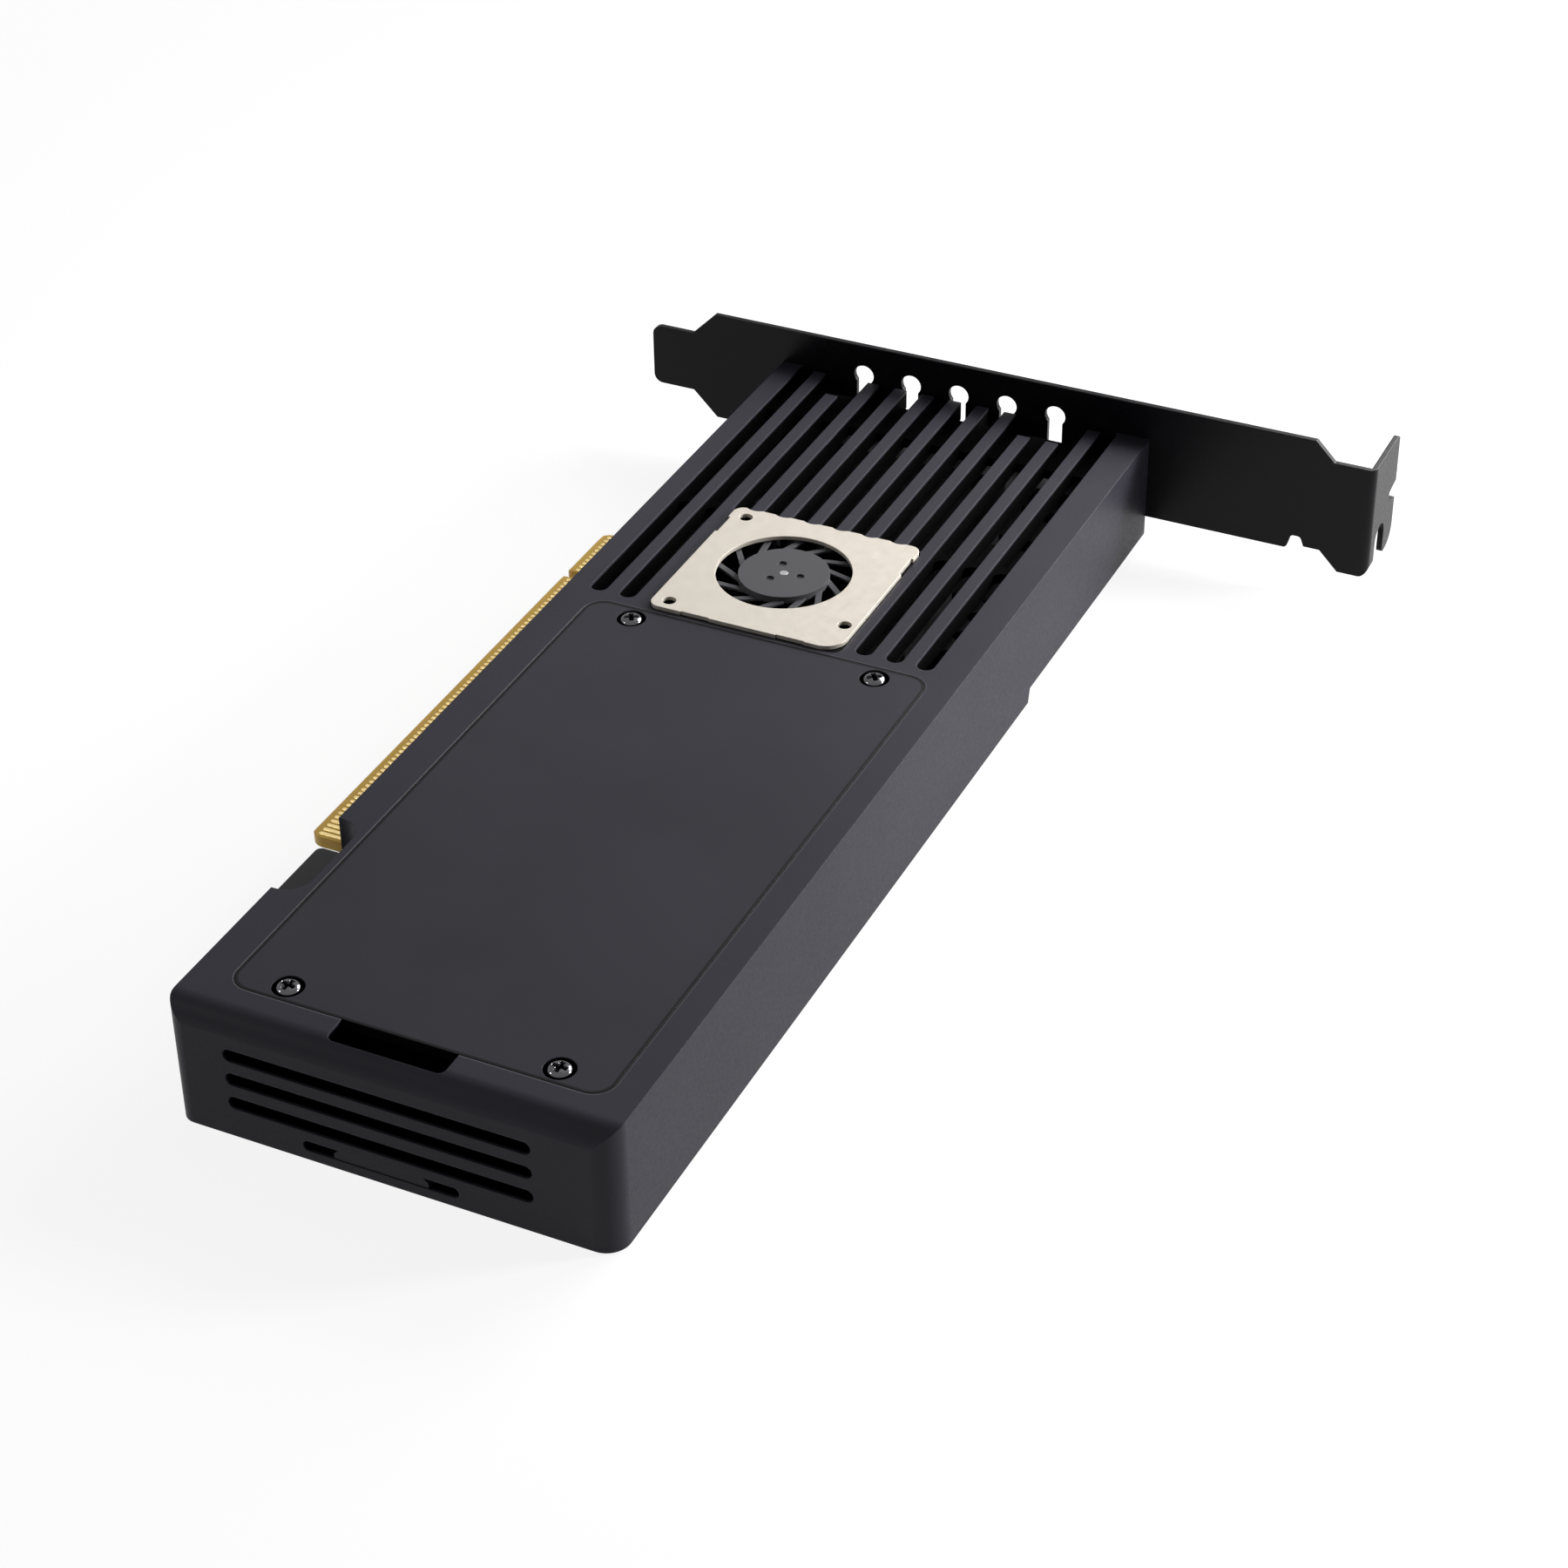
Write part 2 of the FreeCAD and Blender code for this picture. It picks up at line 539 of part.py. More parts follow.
# a slot's inner corners are rounded to just short of a half circle
ALMOST_HALF = 2.05

# ---------------------------------------------------------------- case
# One piece with roof, sides and free end. Open below and towards the bracket.
case = body("case_body")
sk = sketch(case, "case_outline", "XY", "0")
loop(sk, [("0", "0"), ("case_length", "0", "corner_small"),
          ("case_length", "case_width", "corner_round"), ("0", "case_width")])
pad(case, sk, "case_height")
doc.recompute()
sk = sketch(case, "case_inside", "XY", UNDER_ROOF)
thick_low, thick_high = f"{BAY_START} - wall", f"{BAY_END} + wall"
loop(sk, [("-wall", "wall"), (thick_low, "wall"), (thick_low, "bay_deep + wall"),
          (thick_high, "bay_deep + wall"), (thick_high, "wall"), ("case_length - wall", "wall"),
          ("case_length - wall", "case_width - wall"), ("-wall", "case_width - wall")])
cut(case, sk)
# the top edge of the free end is rounded straight across
sk = sketch(case, "nose_profile", "XZ", "-wall")
NOSE_BACK, NOSE_LOW = "case_length - nose_round - wall", "case_height - nose_round - wall"
loop(sk, [(NOSE_BACK, "case_height"), ("case_length", "case_height", "nose_round"),
          ("case_length", NOSE_LOW), ("case_length + wall", NOSE_LOW),
          ("case_length + wall", "case_height + wall"), (NOSE_BACK, "case_height + wall")])
cut(case, sk, up=True)
# underside stepped up towards the bracket
STEP = [("-wall", "-wall"), ("step_start + step_run", "-wall"), ("step_start + step_run", "0"),
        ("step_start", "rear_lift"), ("-wall", "rear_lift")]
cut(case, loop(sketch(case, "step_profile", "XZ", "-wall"), STEP), up=True)
# the connector side stands on the board, so the case ends there except at the free corner
sk = sketch(case, "side_relief", "XY", "board_top")
block(sk, "-wall", "case_length - corner_round - wall", "-wall", "bay_deep + 2 * wall")
cut(case, sk)
# notch over the latch hook
BAY = [(BAY_START, "-wall"), (BAY_END, "-wall"), (BAY_END, "bay_deep", "bay_round"),
       (BAY_START, "bay_deep", "bay_round")]
sk = sketch(case, "bay_outline", "XY", "case_height")
loop(sk, BAY)
cut(case, sk)
# opening for the fan
sk = sketch(case, "fan_opening", "XY", "case_height")
block(sk, FAN_LOW_X + " - fan_play", FAN_HIGH_X + " + fan_play", FAN_LOW_Y + " - fan_play",
      FAN_HIGH_Y + " + fan_play", "fan_round")
cut(case, sk, "roof")
# vent slots: two and three long ones beside the fan, seven that run into its opening
UPPER = "(roof - bar_depth)"
SLOT_END = f"({FAN_HIGH_X} - slot_short_by)"


def slot_y(k):
    """Centre of the k-th vent slot; halves fall on the ribs."""
    return f"(slot_first + {k} * {PITCH})"


for tag, first, count in (("low", 0, LONG_LOW), ("high", LONG_LOW + SHORT, LONG_HIGH)):
    sk = sketch(case, "slot_" + tag, "XY", "case_height")
    pill(sk, "rib_gap", slot_y(first), SLOT_END, slot_y(first), "slot_wide / 2")
    repeat(case, cut(case, sk, UPPER), "Y", PITCH, count)
sk = sketch(case, "slot_short", "XY", "case_height")
block(sk, "-wall", FAN_LOW_X, slot_y(LONG_LOW) + " - slot_wide / 2", slot_y(LONG_LOW) + " + slot_wide / 2")
repeat(case, cut(case, sk, UPPER), "Y", PITCH, SHORT)
# below the bars' top the slots go right through, except at the two cross bars
BAR_END = "(bar_start + rear_bar_wide)"
spans = [("rib_gap", "bar_start", "slot_deep_rear"), (BAR_END, FAN_LOW_X + " - bar_wide", "slot_deep_front")]
for x0, x1, tag in spans:
    sk = sketch(case, tag, "XY", f"case_height - {UPPER}")
    block(sk, x0, x1, "slot_first - slot_wide / 2", "slot_first + slot_wide / 2")
    repeat(case, cut(case, sk, "bar_depth"), "Y", PITCH, SLOTS)
for tag, first, count in (("low", 0, LONG_LOW), ("high", LONG_LOW + SHORT, LONG_HIGH)):
    sk = sketch(case, "slot_tail_" + tag, "XY", f"case_height - {UPPER}")
    pill(sk, FAN_LOW_X, slot_y(first), SLOT_END, slot_y(first), "slot_wide / 2")
    repeat(case, cut(case, sk, "bar_depth"), "Y", PITCH, count)
# the ribs stop short of the bracket, three of them further back
sk = sketch(case, "rib_ends", "XY", "case_height")
block(sk, "-wall", "rib_gap", "slot_first", slot_y(SLOTS - 1))
cut(case, sk, "roof")
for tag, k, n in (("low", 1, 1), ("high", 8, 2)):
    sk = sketch(case, "rib_relief_" + tag, "XY", "case_height")
    block(sk, "0", "bar_start", slot_y(k), slot_y(k + n))
    cut(case, sk, "roof")
    sk = sketch(case, "rib_shorter_" + tag, "XY", "case_height")
    block(sk, "bar_start", "rib_relief", slot_y(k), slot_y(k + n))
    cut(case, sk, UPPER)
# recess and opening for the top access cover
LID = (LID_START, LID_END, "lid_low", LID_HIGH, "lid_round")
DOOR = (f"{LID_START} + ledge_end", f"{LID_END} - ledge_end", "lid_low + ledge_side",
        f"{LID_HIGH} - ledge_side", "lid_round")
cut(case, block(sketch(case, "lid_recess", "XY", "case_height"), *LID), "lid_thick")
cut(case, block(sketch(case, "lid_door", "XY", "case_height"), *DOOR), "roof")
LID_SPOTS = [(x, y) for x in (f"{LID_START} + lid_screw_end", f"{LID_END} - lid_screw_end")
             for y in ("lid_low + lid_screw_side", f"{LID_HIGH} - lid_screw_side")]
sk = sketch(case, "lid_threads", "XY", "case_height - lid_thick")
rings(sk, [(x, y, "thread_hole") for x, y in LID_SPOTS])
cut(case, sk, "roof - lid_thick")
# finger scoop at the end of the cover
SCOOP_LOW = "(case_width / 2 - scoop_shift - scoop_wide / 2)"
SCOOP_FAR = f"({LID_END} + scoop_long)"
sk = sketch(case, "scoop", "XY", "case_height")
loop(sk, [(f"{LID_END} - play", SCOOP_LOW), (SCOOP_FAR, SCOOP_LOW, "scoop_soft"),
          (SCOOP_FAR, f"{SCOOP_LOW} + scoop_wide", "scoop_soft"),
          (f"{LID_END} - play", f"{SCOOP_LOW} + scoop_wide")])
cut(case, sk, "scoop_deep")
# slots in the free end
sk = sketch(case, "grille", "YZ", "case_length")
pill(sk, "grille_low + grille_tall / 2", "grille_first", "case_width - grille_margin - grille_tall / 2",
     "grille_first", "grille_tall / 2")
repeat(case, cut(case, sk, "wall"), "Z", "grille_pitch", 3)
sk = sketch(case, "latch_slot", "YZ", "case_length")
mid, reach = "latch_base + latch_tall / 2", "(latch_wide / 2 - latch_tall / 2)"
pill(sk, f"{LATCH_MID} - {reach}", mid, f"{LATCH_MID} + {reach}", mid, "latch_tall / 2")
cut(case, sk, "wall")
# posts that clamp the board, and blocks that take the bracket screws
POSTS = [(x, y) for x in (f"{LID_START} - post_back", "case_length - post_from_end")
         for y in ("post_inset", "case_width - post_inset")]
sk = sketch(case, "post_outlines", "XY", "board_top")
rings(sk, [(x, y, "post_round") for x, y in POSTS])
pad(case, sk, f"{UNDER_ROOF} - board_top")
doc.recompute()
sk = sketch(case, "post_threads", "XY", "board_top")
rings(sk, [(x, y, "thread_hole") for x, y in POSTS])
cut(case, sk, f"{UNDER_ROOF} - board_top - post_skin", up=True)
sk = sketch(case, "boss_outlines", "XY", "boss_lift - boss_wide / 2")
block(sk, "0", "boss_long", "wall", "wall + boss_wide")
block(sk, "0", "boss_long", "case_width - wall - boss_wide", "case_width - wall")
pad(case, sk, f"{UNDER_ROOF} - (boss_lift - boss_wide / 2)")
doc.recompute()
sk = sketch(case, "boss_threads", "YZ", "0")
rings(sk, [(y, "boss_lift", "thread_hole") for y in ("boss_inset", "case_width - boss_inset")])
cut(case, sk, "boss_long - post_skin / 2", up=True)
finish(case, "housing")

# ---------------------------------------------------------------- base
# Floor with its own wall on the connector side. The board is held between it and the housing.
base = body("base_body")
INNER = "(case_width - wall - play)"
sk = sketch(base, "floor_profile", "XZ", "0")
loop(sk, [("0", "rear_lift"), ("step_start", "rear_lift"), ("step_start + step_run", "0"),
          ("case_length - wall - play", "0"), ("case_length - wall - play", "floor"),
          ("step_start + step_run + floor / 2", "floor"), ("step_start + floor / 2", "rear_lift + floor"),
          ("0", "rear_lift + floor")])
pad(base, sk, INNER)
doc.recompute()
BASE_END = "(case_length - corner_round - wall - play)"
sk = sketch(base, "side_wall", "XY", "floor")
block(sk, "0", BASE_END, "0", "wall")
pad(base, sk, "board_top - floor")
doc.recompute()
sk = sketch(base, "bay_wall", "XY", "floor")
block(sk, thick_low, thick_high, "0", "bay_deep + wall")
pad(base, sk, f"{BOARD_LOW} - floor")
doc.recompute()
# the wall is lower where the board's edge passes over it
sk = sketch(base, "board_pass", "XY", "board_top")
block(sk, "key_from_bracket - key_wide / 2 - short_edge - play", thick_high, "-wall", "bay_deep + 2 * wall")
cut(base, sk, "board_thick")
sk = sketch(base, "wall_foot", "XY", "rear_lift")
block(sk, "-wall", "step_start", "-wall", "wall")
cut(base, sk)
sk = sketch(base, "corner_relief", "XY", "board_top")
block(sk, BASE_END, "case_length", "-wall", "wall + play")
cut(base, sk)
sk = sketch(base, "base_bay", "XY", "board_top")
loop(sk, BAY)
cut(base, sk)
cut(base, block(sketch(base, "hatch_recess", "XY", "0"), *LID), "hatch_thick", up=True)
cut(base, block(sketch(base, "hatch_door", "XY", "0"), *DOOR), "floor", up=True)
sk = sketch(base, "hatch_threads", "XY", "0")
rings(sk, [(x, y, "thread_hole") for x, y in LID_SPOTS])
cut(base, sk, "floor", up=True)
sk = sketch(base, "tongue_way", "XY", "floor")
block(sk, LID_END, "case_length", f"{TONGUE_LOW} - play", f"{TONGUE_HIGH} + play")
cut(base, sk, "floor - latch_base")
sk = sketch(base, "tongue_root_way", "XY", "floor")
block(sk, f"{LID_END} - tongue_root - play", LID_END, f"{TONGUE_LOW} - play", f"{TONGUE_HIGH} + play")
cut(base, sk, "floor")
sk = sketch(base, "base_posts", "XY", "floor")
rings(sk, [(x, y, "post_round") for x, y in POSTS])
pad(base, sk, f"{BOARD_LOW} - floor")
doc.recompute()
sk = sketch(base, "base_post_holes", "XY", "0")
rings(sk, [(x, y, "pass_hole") for x, y in POSTS])
cut(base, sk, BOARD_LOW, up=True)
sk = sketch(base, "base_post_sinks", "XY", "0")
rings(sk, [(x, y, "sink_hole - play") for x, y in POSTS])
cut(base, sk, "post_sink", up=True)
finish(base, "base_shell")

# ---------------------------------------------------------------- access covers
PLATE = (f"{LID_START} + play", f"{LID_END} - play", "lid_low + play", f"{LID_HIGH} - play",
         "lid_round - play")
lid = body("lid_body")
sk = sketch(lid, "lid_plate", "XY", "case_height - lid_thick")
block(sk, *PLATE)
pad(lid, sk, "lid_thick")
doc.recompute()
SINK_FLOOR = "(case_height - head_tall - play)"
cut(lid, rings(sketch(lid, "lid_holes", "XY", "case_height"), [(x, y, "pass_hole") for x, y in LID_SPOTS]))
cut(lid, rings(sketch(lid, "lid_sinks", "XY", "case_height"), [(x, y, "sink_hole") for x, y in LID_SPOTS]),
    f"case_height - {SINK_FLOOR}")
finish(lid, "top_cover")
hatch = body("hatch_body")
sk = sketch(hatch, "hatch_plate", "XY", "0")
block(sk, *PLATE)
pad(hatch, sk, "hatch_thick")
doc.recompute()
sk = sketch(hatch, "tongue_root", "XY", "hatch_thick")
block(sk, f"{LID_END} - tongue_root", f"{LID_END} - play", TONGUE_LOW, TONGUE_HIGH)
pad(hatch, sk, "latch_base + play + tongue_thick - hatch_thick")
doc.recompute()
sk = sketch(hatch, "tongue", "YZ", f"{LID_END} - play")
slant, seat = "(tongue_thick / 2)", "(latch_base + play)"
loop(sk, [(TONGUE_LOW, seat), (TONGUE_HIGH, seat), (TONGUE_HIGH, f"{seat} + {slant}"),
          (f"{TONGUE_HIGH} - {slant}", f"{seat} + tongue_thick"),
          (f"{TONGUE_LOW} + {slant}", f"{seat} + tongue_thick"), (TONGUE_LOW, f"{seat} + {slant}")])
pad(hatch, sk, f"case_length - tongue_back - {LID_END} + play")
doc.recompute()
sk = sketch(hatch, "hatch_holes", "XY", "0")
cut(hatch, rings(sk, [(x, y, "pass_hole") for x, y in LID_SPOTS]), up=True)
sk = sketch(hatch, "hatch_sinks", "XY", "0")
cut(hatch, rings(sk, [(x, y, "sink_hole") for x, y in LID_SPOTS]), "hatch_sink", up=True)
finish(hatch, "bottom_cover")

# ---------------------------------------------------------------- board
board = body("board_body")
NEAR, TOP_SIDE = "(wall + board_gap)", "(case_width - wall - board_gap)"
END = "(case_length - wall - board_gap)"
sk = sketch(board, "board_outline", "XY", BOARD_LOW)
loop(sk, [("board_rear", NEAR), (FIRST_EDGE, NEAR), (FIRST_EDGE, "-finger_reach", "tip_round"),
          ("key_from_bracket - key_wide / 2", "-finger_reach", "key_soft"),
          ("key_from_bracket - key_wide / 2", "key_deep - finger_reach", f"key_wide / {ALMOST_HALF}"),
          ("key_from_bracket + key_wide / 2", "key_deep - finger_reach", f"key_wide / {ALMOST_HALF}"),
          ("key_from_bracket + key_wide / 2", "-finger_reach", "key_soft"),
          (LAST_EDGE, "-finger_reach", "tip_round"),
          (LAST_EDGE, "-slit_floor", f"latch_gap / {ALMOST_HALF}"),
          (HOOK, "-slit_floor", f"latch_gap / {ALMOST_HALF}"), (HOOK, "-hook_reach", "hook_soft"),
          (f"{HOOK} + hook_length - hook_slope", "-hook_reach"),
          (f"{HOOK} + hook_length", "-hook_reach + hook_slope"), (f"{HOOK} + hook_length", NEAR),
          (f"{END} - board_corner", NEAR), (END, f"{NEAR} + board_corner"),
          (END, f"{TOP_SIDE} - board_corner"), (f"{END} - board_corner", TOP_SIDE),
          ("board_rear", TOP_SIDE)])
pad(board, sk, "board_thick")
doc.recompute()
EAR = "(fan_x + ear_from_fan)"
SINK_SPOTS = [("sink_rear + sink_screw_in", f"{FAN_LOW_Y} + sink_screw_side"),
              ("sink_rear + sink_screw_in", f"{FAN_HIGH_Y} - sink_screw_side"),
              (f"{EAR} + ear_wide / 2", f"{FAN_LOW_Y} - ear_reach / 2"),
              (f"{EAR} + ear_wide / 2", f"{FAN_HIGH_Y} + ear_reach / 2")]
sk = sketch(board, "board_holes", "XY", "board_top")
rings(sk, [(x, y, "pass_hole") for x, y in POSTS] + [(x, y, "thread_hole") for x, y in SINK_SPOTS])
cut(board, sk)
# bevelled tip of the edge connector
sk = sketch(board, "bevel_profile", "YZ", FIRST_EDGE)
loop(sk, [("-finger_reach - wall", "board_top + wall"), ("-finger_reach - wall", "board_top - tip_bevel"),
          ("-finger_reach", "board_top - tip_bevel"), ("-finger_reach + tip_bevel", "board_top"),
          ("-finger_reach + tip_bevel", "board_top + wall")])
cut(board, sk, f"{LAST_EDGE} - {FIRST_EDGE}", up=True)
sk = sketch(board, "bevel_under", "YZ", FIRST_EDGE)
loop(sk, [("-finger_reach - wall", f"{BOARD_LOW} - wall"),
          ("-finger_reach + tip_bevel", f"{BOARD_LOW} - wall"), ("-finger_reach + tip_bevel", BOARD_LOW),
          ("-finger_reach", f"{BOARD_LOW} + tip_bevel"), ("-finger_reach - wall", f"{BOARD_LOW} + tip_bevel")])
cut(board, sk, f"{LAST_EDGE} - {FIRST_EDGE}", up=True)
finish(board, "circuit_board")


# Contacts are a long row of loose pads, one solid each, so they're made in one go from the sheet.
def contact_row(name, z_low):
    pads = []
    near, far = 11, 71
    wide, y, z = num("pad_wide"), num("-finger_reach + pad_from_tip"), num(z_low)
    for k in range(-near, far):
        step = k + 1 if k < 0 else k
        side = -1 if k < 0 else 1
        mid = num("key_from_bracket") + side * num("pad_at_key") + step * num("pad_pitch")
        pads.append(Part.makeBox(wide, num("pad_length"), num("pad_thick"), V(mid - wide / 2, y, z)))
    f = doc.addObject("Part::Feature", name + "_pads")
    f.Shape = Part.makeCompound(pads)
    return finish(f, name)


contact_row("contacts_upper", "board_top")
contact_row("contacts_lower", f"{BOARD_LOW} - pad_thick")

# ---------------------------------------------------------------- slot bracket
# Folded sheet: tongue, tapered shoulders, keyhole vents, and a tab bent away from the card.
bracket = body("bracket_body")
TIP = "(-tip_beyond)"
TAB = "(bracket_long - tip_beyond)"
TOP, LOW = "(bracket_low + bracket_wide)", "bracket_low"
MIDDLE = "(bracket_low + bracket_wide / 2)"
SHOULDER = f"({TIP} + bracket_tip + taper)"
NECK = f"({TAB} - tab_neck)"
NICK = f"({TAB} - nick_from_tab)"
sk = sketch(bracket, "bracket_outline", "YZ", "-sheet")
loop(sk, [(TIP, f"{MIDDLE} - tongue_wide / 2", "tip_soft"),
          (f"{TIP} + bracket_tip", f"{MIDDLE} - tongue_wide / 2"),
          (SHOULDER, LOW), ("0", LOW), ("bracket_drop", "bracket_low - bracket_drop"),
          (f"{NICK} - nick_wide / 2", "bracket_low - bracket_drop", "tab_soft"),
          (f"{NICK} - nick_wide / 2 + nick_lean", "bracket_low + nick_deep", "nick_soft"),
          (f"{NICK} + nick_wide / 2 - nick_lean", "bracket_low + nick_deep", "nick_soft"),
          (f"{NICK} + nick_wide / 2", LOW), (f"{NECK} + tab_lag", LOW),
          (f"{NECK} + tab_lag + tab_taper", "bracket_low - tab_shift"),
          (TAB, "bracket_low - tab_shift"), (TAB, f"{TOP} - tab_shift"),
          (f"{NECK} + tab_taper", f"{TOP} - tab_shift"), (NECK, TOP), (SHOULDER, TOP),
          (f"{TIP} + bracket_tip", f"{MIDDLE} + tongue_wide / 2"),
          (TIP, f"{MIDDLE} + tongue_wide / 2", "tip_soft")])
pad(bracket, sk, "sheet")
doc.recompute()
sk = sketch(bracket, "tab_outline", "XZ", f"{TAB} - sheet")
OUT = "(-sheet - tab_deep)"
TAB_LOW, TAB_TOP = "(bracket_low - tab_shift)", f"({TOP} - tab_shift)"
SLOT_IN, SLOT_OUT = "(screw_slot / 2 - slot_from_face)", "(-screw_slot / 2 - slot_from_face)"
SLOT_ROUND = f"screw_slot / {ALMOST_HALF}"
loop(sk, [("0", TAB_LOW), (SLOT_IN, TAB_LOW, "tab_soft"), (SLOT_IN, "slot_top", SLOT_ROUND),
          (SLOT_OUT, "slot_top", SLOT_ROUND), (SLOT_OUT, TAB_LOW, "leg_soft"),
          (OUT, f"{TAB_LOW} + leg_rise", "leg_round"), (OUT, "bite_low"),
          (f"{OUT} + bite_deep", "bite_low + bite_lean", "bite_soft"),
          (f"{OUT} + bite_deep", "bite_high - bite_lean", "bite_soft"), (OUT, "bite_high"),
          (OUT, TAB_TOP, "tab_soft"), ("0", TAB_TOP)])
pad(bracket, sk, "sheet")
doc.recompute()
# bend: the outer corner is rounded
sk = sketch(bracket, "bend_outside", "XY", f"{TOP} + wall")
loop(sk, [("-3 * sheet", TAB), ("0", TAB, "bend_round"), ("0", f"{TAB} - 3 * sheet"),
          ("sheet", f"{TAB} - 3 * sheet"), ("sheet", f"{TAB} + sheet"), ("-3 * sheet", f"{TAB} + sheet")])
cut(bracket, sk)
# the lower corner is rounded in one sweep through the face and the tab's inner leg
sk = sketch(bracket, "low_corner", "YZ", "0")
loop(sk, [(f"{TAB} + wall", f"{TAB_LOW} - wall"), (f"{TAB} + wall", f"{TAB_LOW} + tip_soft + wall"),
          (TAB, f"{TAB_LOW} + tip_soft + wall"), (TAB, TAB_LOW, "tip_soft"),
          (f"{TAB} - tip_soft - wall", TAB_LOW), (f"{TAB} - tip_soft - wall", f"{TAB_LOW} - wall")])
cut(bracket, sk, "slot_from_face")
sk = sketch(bracket, "keyholes", "YZ", "0")
rings(sk, [("vent_first", "vent_top", "vent_round")])
upper = cut(bracket, sk, "sheet")
repeat(bracket, upper, "Y", "vent_pitch", 5)
sk = sketch(bracket, "keyholes_low", "YZ", "0")
rings(sk, [("vent_first", "vent_low", "vent_round")])
repeat(bracket, cut(bracket, sk, "sheet"), "Y", "vent_pitch", 5)
sk = sketch(bracket, "keyhole_necks", "YZ", "0")
block(sk, "vent_first - vent_neck / 2", "vent_first + vent_neck / 2", "vent_low", "vent_top")
repeat(bracket, cut(bracket, sk, "sheet"), "Y", "vent_pitch", 5)
# holes for the sunk screws that hold the case
for tag, y in (("low", "boss_inset"), ("high", "case_width - boss_inset")):
    sk = sketch(bracket, "sunk_hole_" + tag, "XY", "boss_lift")
    bind(sk, "AttachmentOffset.Base.y", y)
    loop(sk, [("-sheet", "0"), ("-sheet", "sunk_head + thread_hole - shank_round"), ("0", "thread_hole"),
              ("0", "0")])
    hole = bracket.newObject("PartDesign::Groove", "sunk_" + tag)
    hole.Profile = sk
    hole.ReferenceAxis = (sk, ["H_Axis"])
    hole.Angle = 360
    doc.recompute()
finish(bracket, "slot_bracket")

# ---------------------------------------------------------------- fan
plate = body("fan_plate_body")
sk = sketch(plate, "plate_outline", "XY", "case_height")
loop(sk, [(FAN_LOW_X, FAN_LOW_Y, "fan_round"), (FAN_HIGH_X, FAN_LOW_Y, "fan_round"),
          (FAN_HIGH_X, FAN_HIGH_Y, "plate_round"), (FAN_LOW_X, FAN_HIGH_Y, "fan_round")])
pad(plate, sk, "fan_plate")
doc.recompute()
ROTOR_X, ROTOR_Y = "(fan_x + inlet_off_x)", f"({FAN_Y} + inlet_off_y)"
PLATE_TOP = "case_height + fan_plate"
cut(plate, rings(sketch(plate, "inlet", "XY", PLATE_TOP), [(ROTOR_X, ROTOR_Y, "inlet_round")]))
FAN_HOLES = [(f"{FAN_LOW_X} + fan_hole_in", f"{FAN_LOW_Y} + fan_hole_in"),
             (f"{FAN_HIGH_X} - fan_hole_edge", f"{FAN_LOW_Y} + fan_hole_in"),
             (f"{FAN_HIGH_X} - fan_hole_far", f"{FAN_HIGH_Y} - fan_hole_rim")]
cut(plate, rings(sketch(plate, "plate_holes", "XY", PLATE_TOP), [(x, y, "fan_hole") for x, y in FAN_HOLES]))
sk = sketch(plate, "side_notches", "XY", PLATE_TOP)
for y0, y1 in ((f"{FAN_LOW_Y} - wall", f"{FAN_LOW_Y} + notch_deep"),
               (f"{FAN_HIGH_Y} - notch_deep", f"{FAN_HIGH_Y} + wall")):
    block(sk, f"{FAN_LOW_X} + notch_from", f"{FAN_LOW_X} + notch_from + notch_long", y0, y1)
cut(plate, sk)
sk = sketch(plate, "front_notches", "XY", PLATE_TOP)
for y in (f"{FAN_Y} - notch_apart / 2 - notch_long", f"{FAN_Y} + notch_apart / 2"):
    block(sk, f"{FAN_HIGH_X} - notch_shallow", f"{FAN_HIGH_X} + wall", y, f"{y} + notch_long")
cut(plate, sk)
# shallow bites where the ribs meet the plate
sk = sketch(plate, "rib_bites", "XY", PLATE_TOP)
rings(sk, [(f"{FAN_LOW_X} + notch_deep - rib_bite", slot_y(LONG_LOW + 0.5), "rib_bite")])
repeat(plate, cut(plate, sk), "Y", PITCH, SHORT - 1)
finish(plate, "fan_cover_plate")
frame = body("fan_frame_body")
sk = sketch(frame, "frame_floor", "XY", SINK_TOP)
block(sk, FAN_LOW_X, FAN_HIGH_X, FAN_LOW_Y, FAN_HIGH_Y, "fan_round")
pad(frame, sk, f"case_height - {SINK_TOP}")
doc.recompute()
sk = sketch(frame, "frame_inside", "XY", "case_height")
block(sk, f"{FAN_LOW_X} + fan_wall", f"{FAN_HIGH_X} - fan_wall", f"{FAN_LOW_Y} + fan_wall",
      f"{FAN_HIGH_Y} - fan_wall", "fan_round / 2")
cut(frame, sk, f"case_height - {SINK_TOP} - fan_floor")
sk = sketch(frame, "frame_outlet", "XY", "case_height")
block(sk, f"{FAN_LOW_X} - wall", f"{FAN_LOW_X} + wall", f"{FAN_LOW_Y} + outlet_margin",
      f"{FAN_HIGH_Y} - outlet_margin")
cut(frame, sk, f"case_height - {SINK_TOP} - fan_floor")
sk = sketch(frame, "frame_posts", "XY", SINK_TOP)
rings(sk, [(x, y, "fan_post") for x, y in FAN_HOLES])
pad(frame, sk, f"case_height - {SINK_TOP}")
doc.recompute()
cut(frame, rings(sketch(frame, "frame_holes", "XY", "case_height"),
                 [(x, y, "fan_thread") for x, y in FAN_HOLES]), f"case_height - {SINK_TOP} - fan_floor")
finish(frame, "fan_frame")
FLOOR = f"({SINK_TOP} + fan_floor)"
HUB_TOP = f"({PLATE_TOP} - hub_drop)"
HUB_LOW = f"({FLOOR} + hub_base_gap)"
TUBE_TOP = f"({HUB_TOP} - hub_roof - hub_clear)"
AXIS = (ROTOR_X, ROTOR_Y)
tube = rod("bearing_out", *AXIS, FLOOR, TUBE_TOP, "bearing_round")
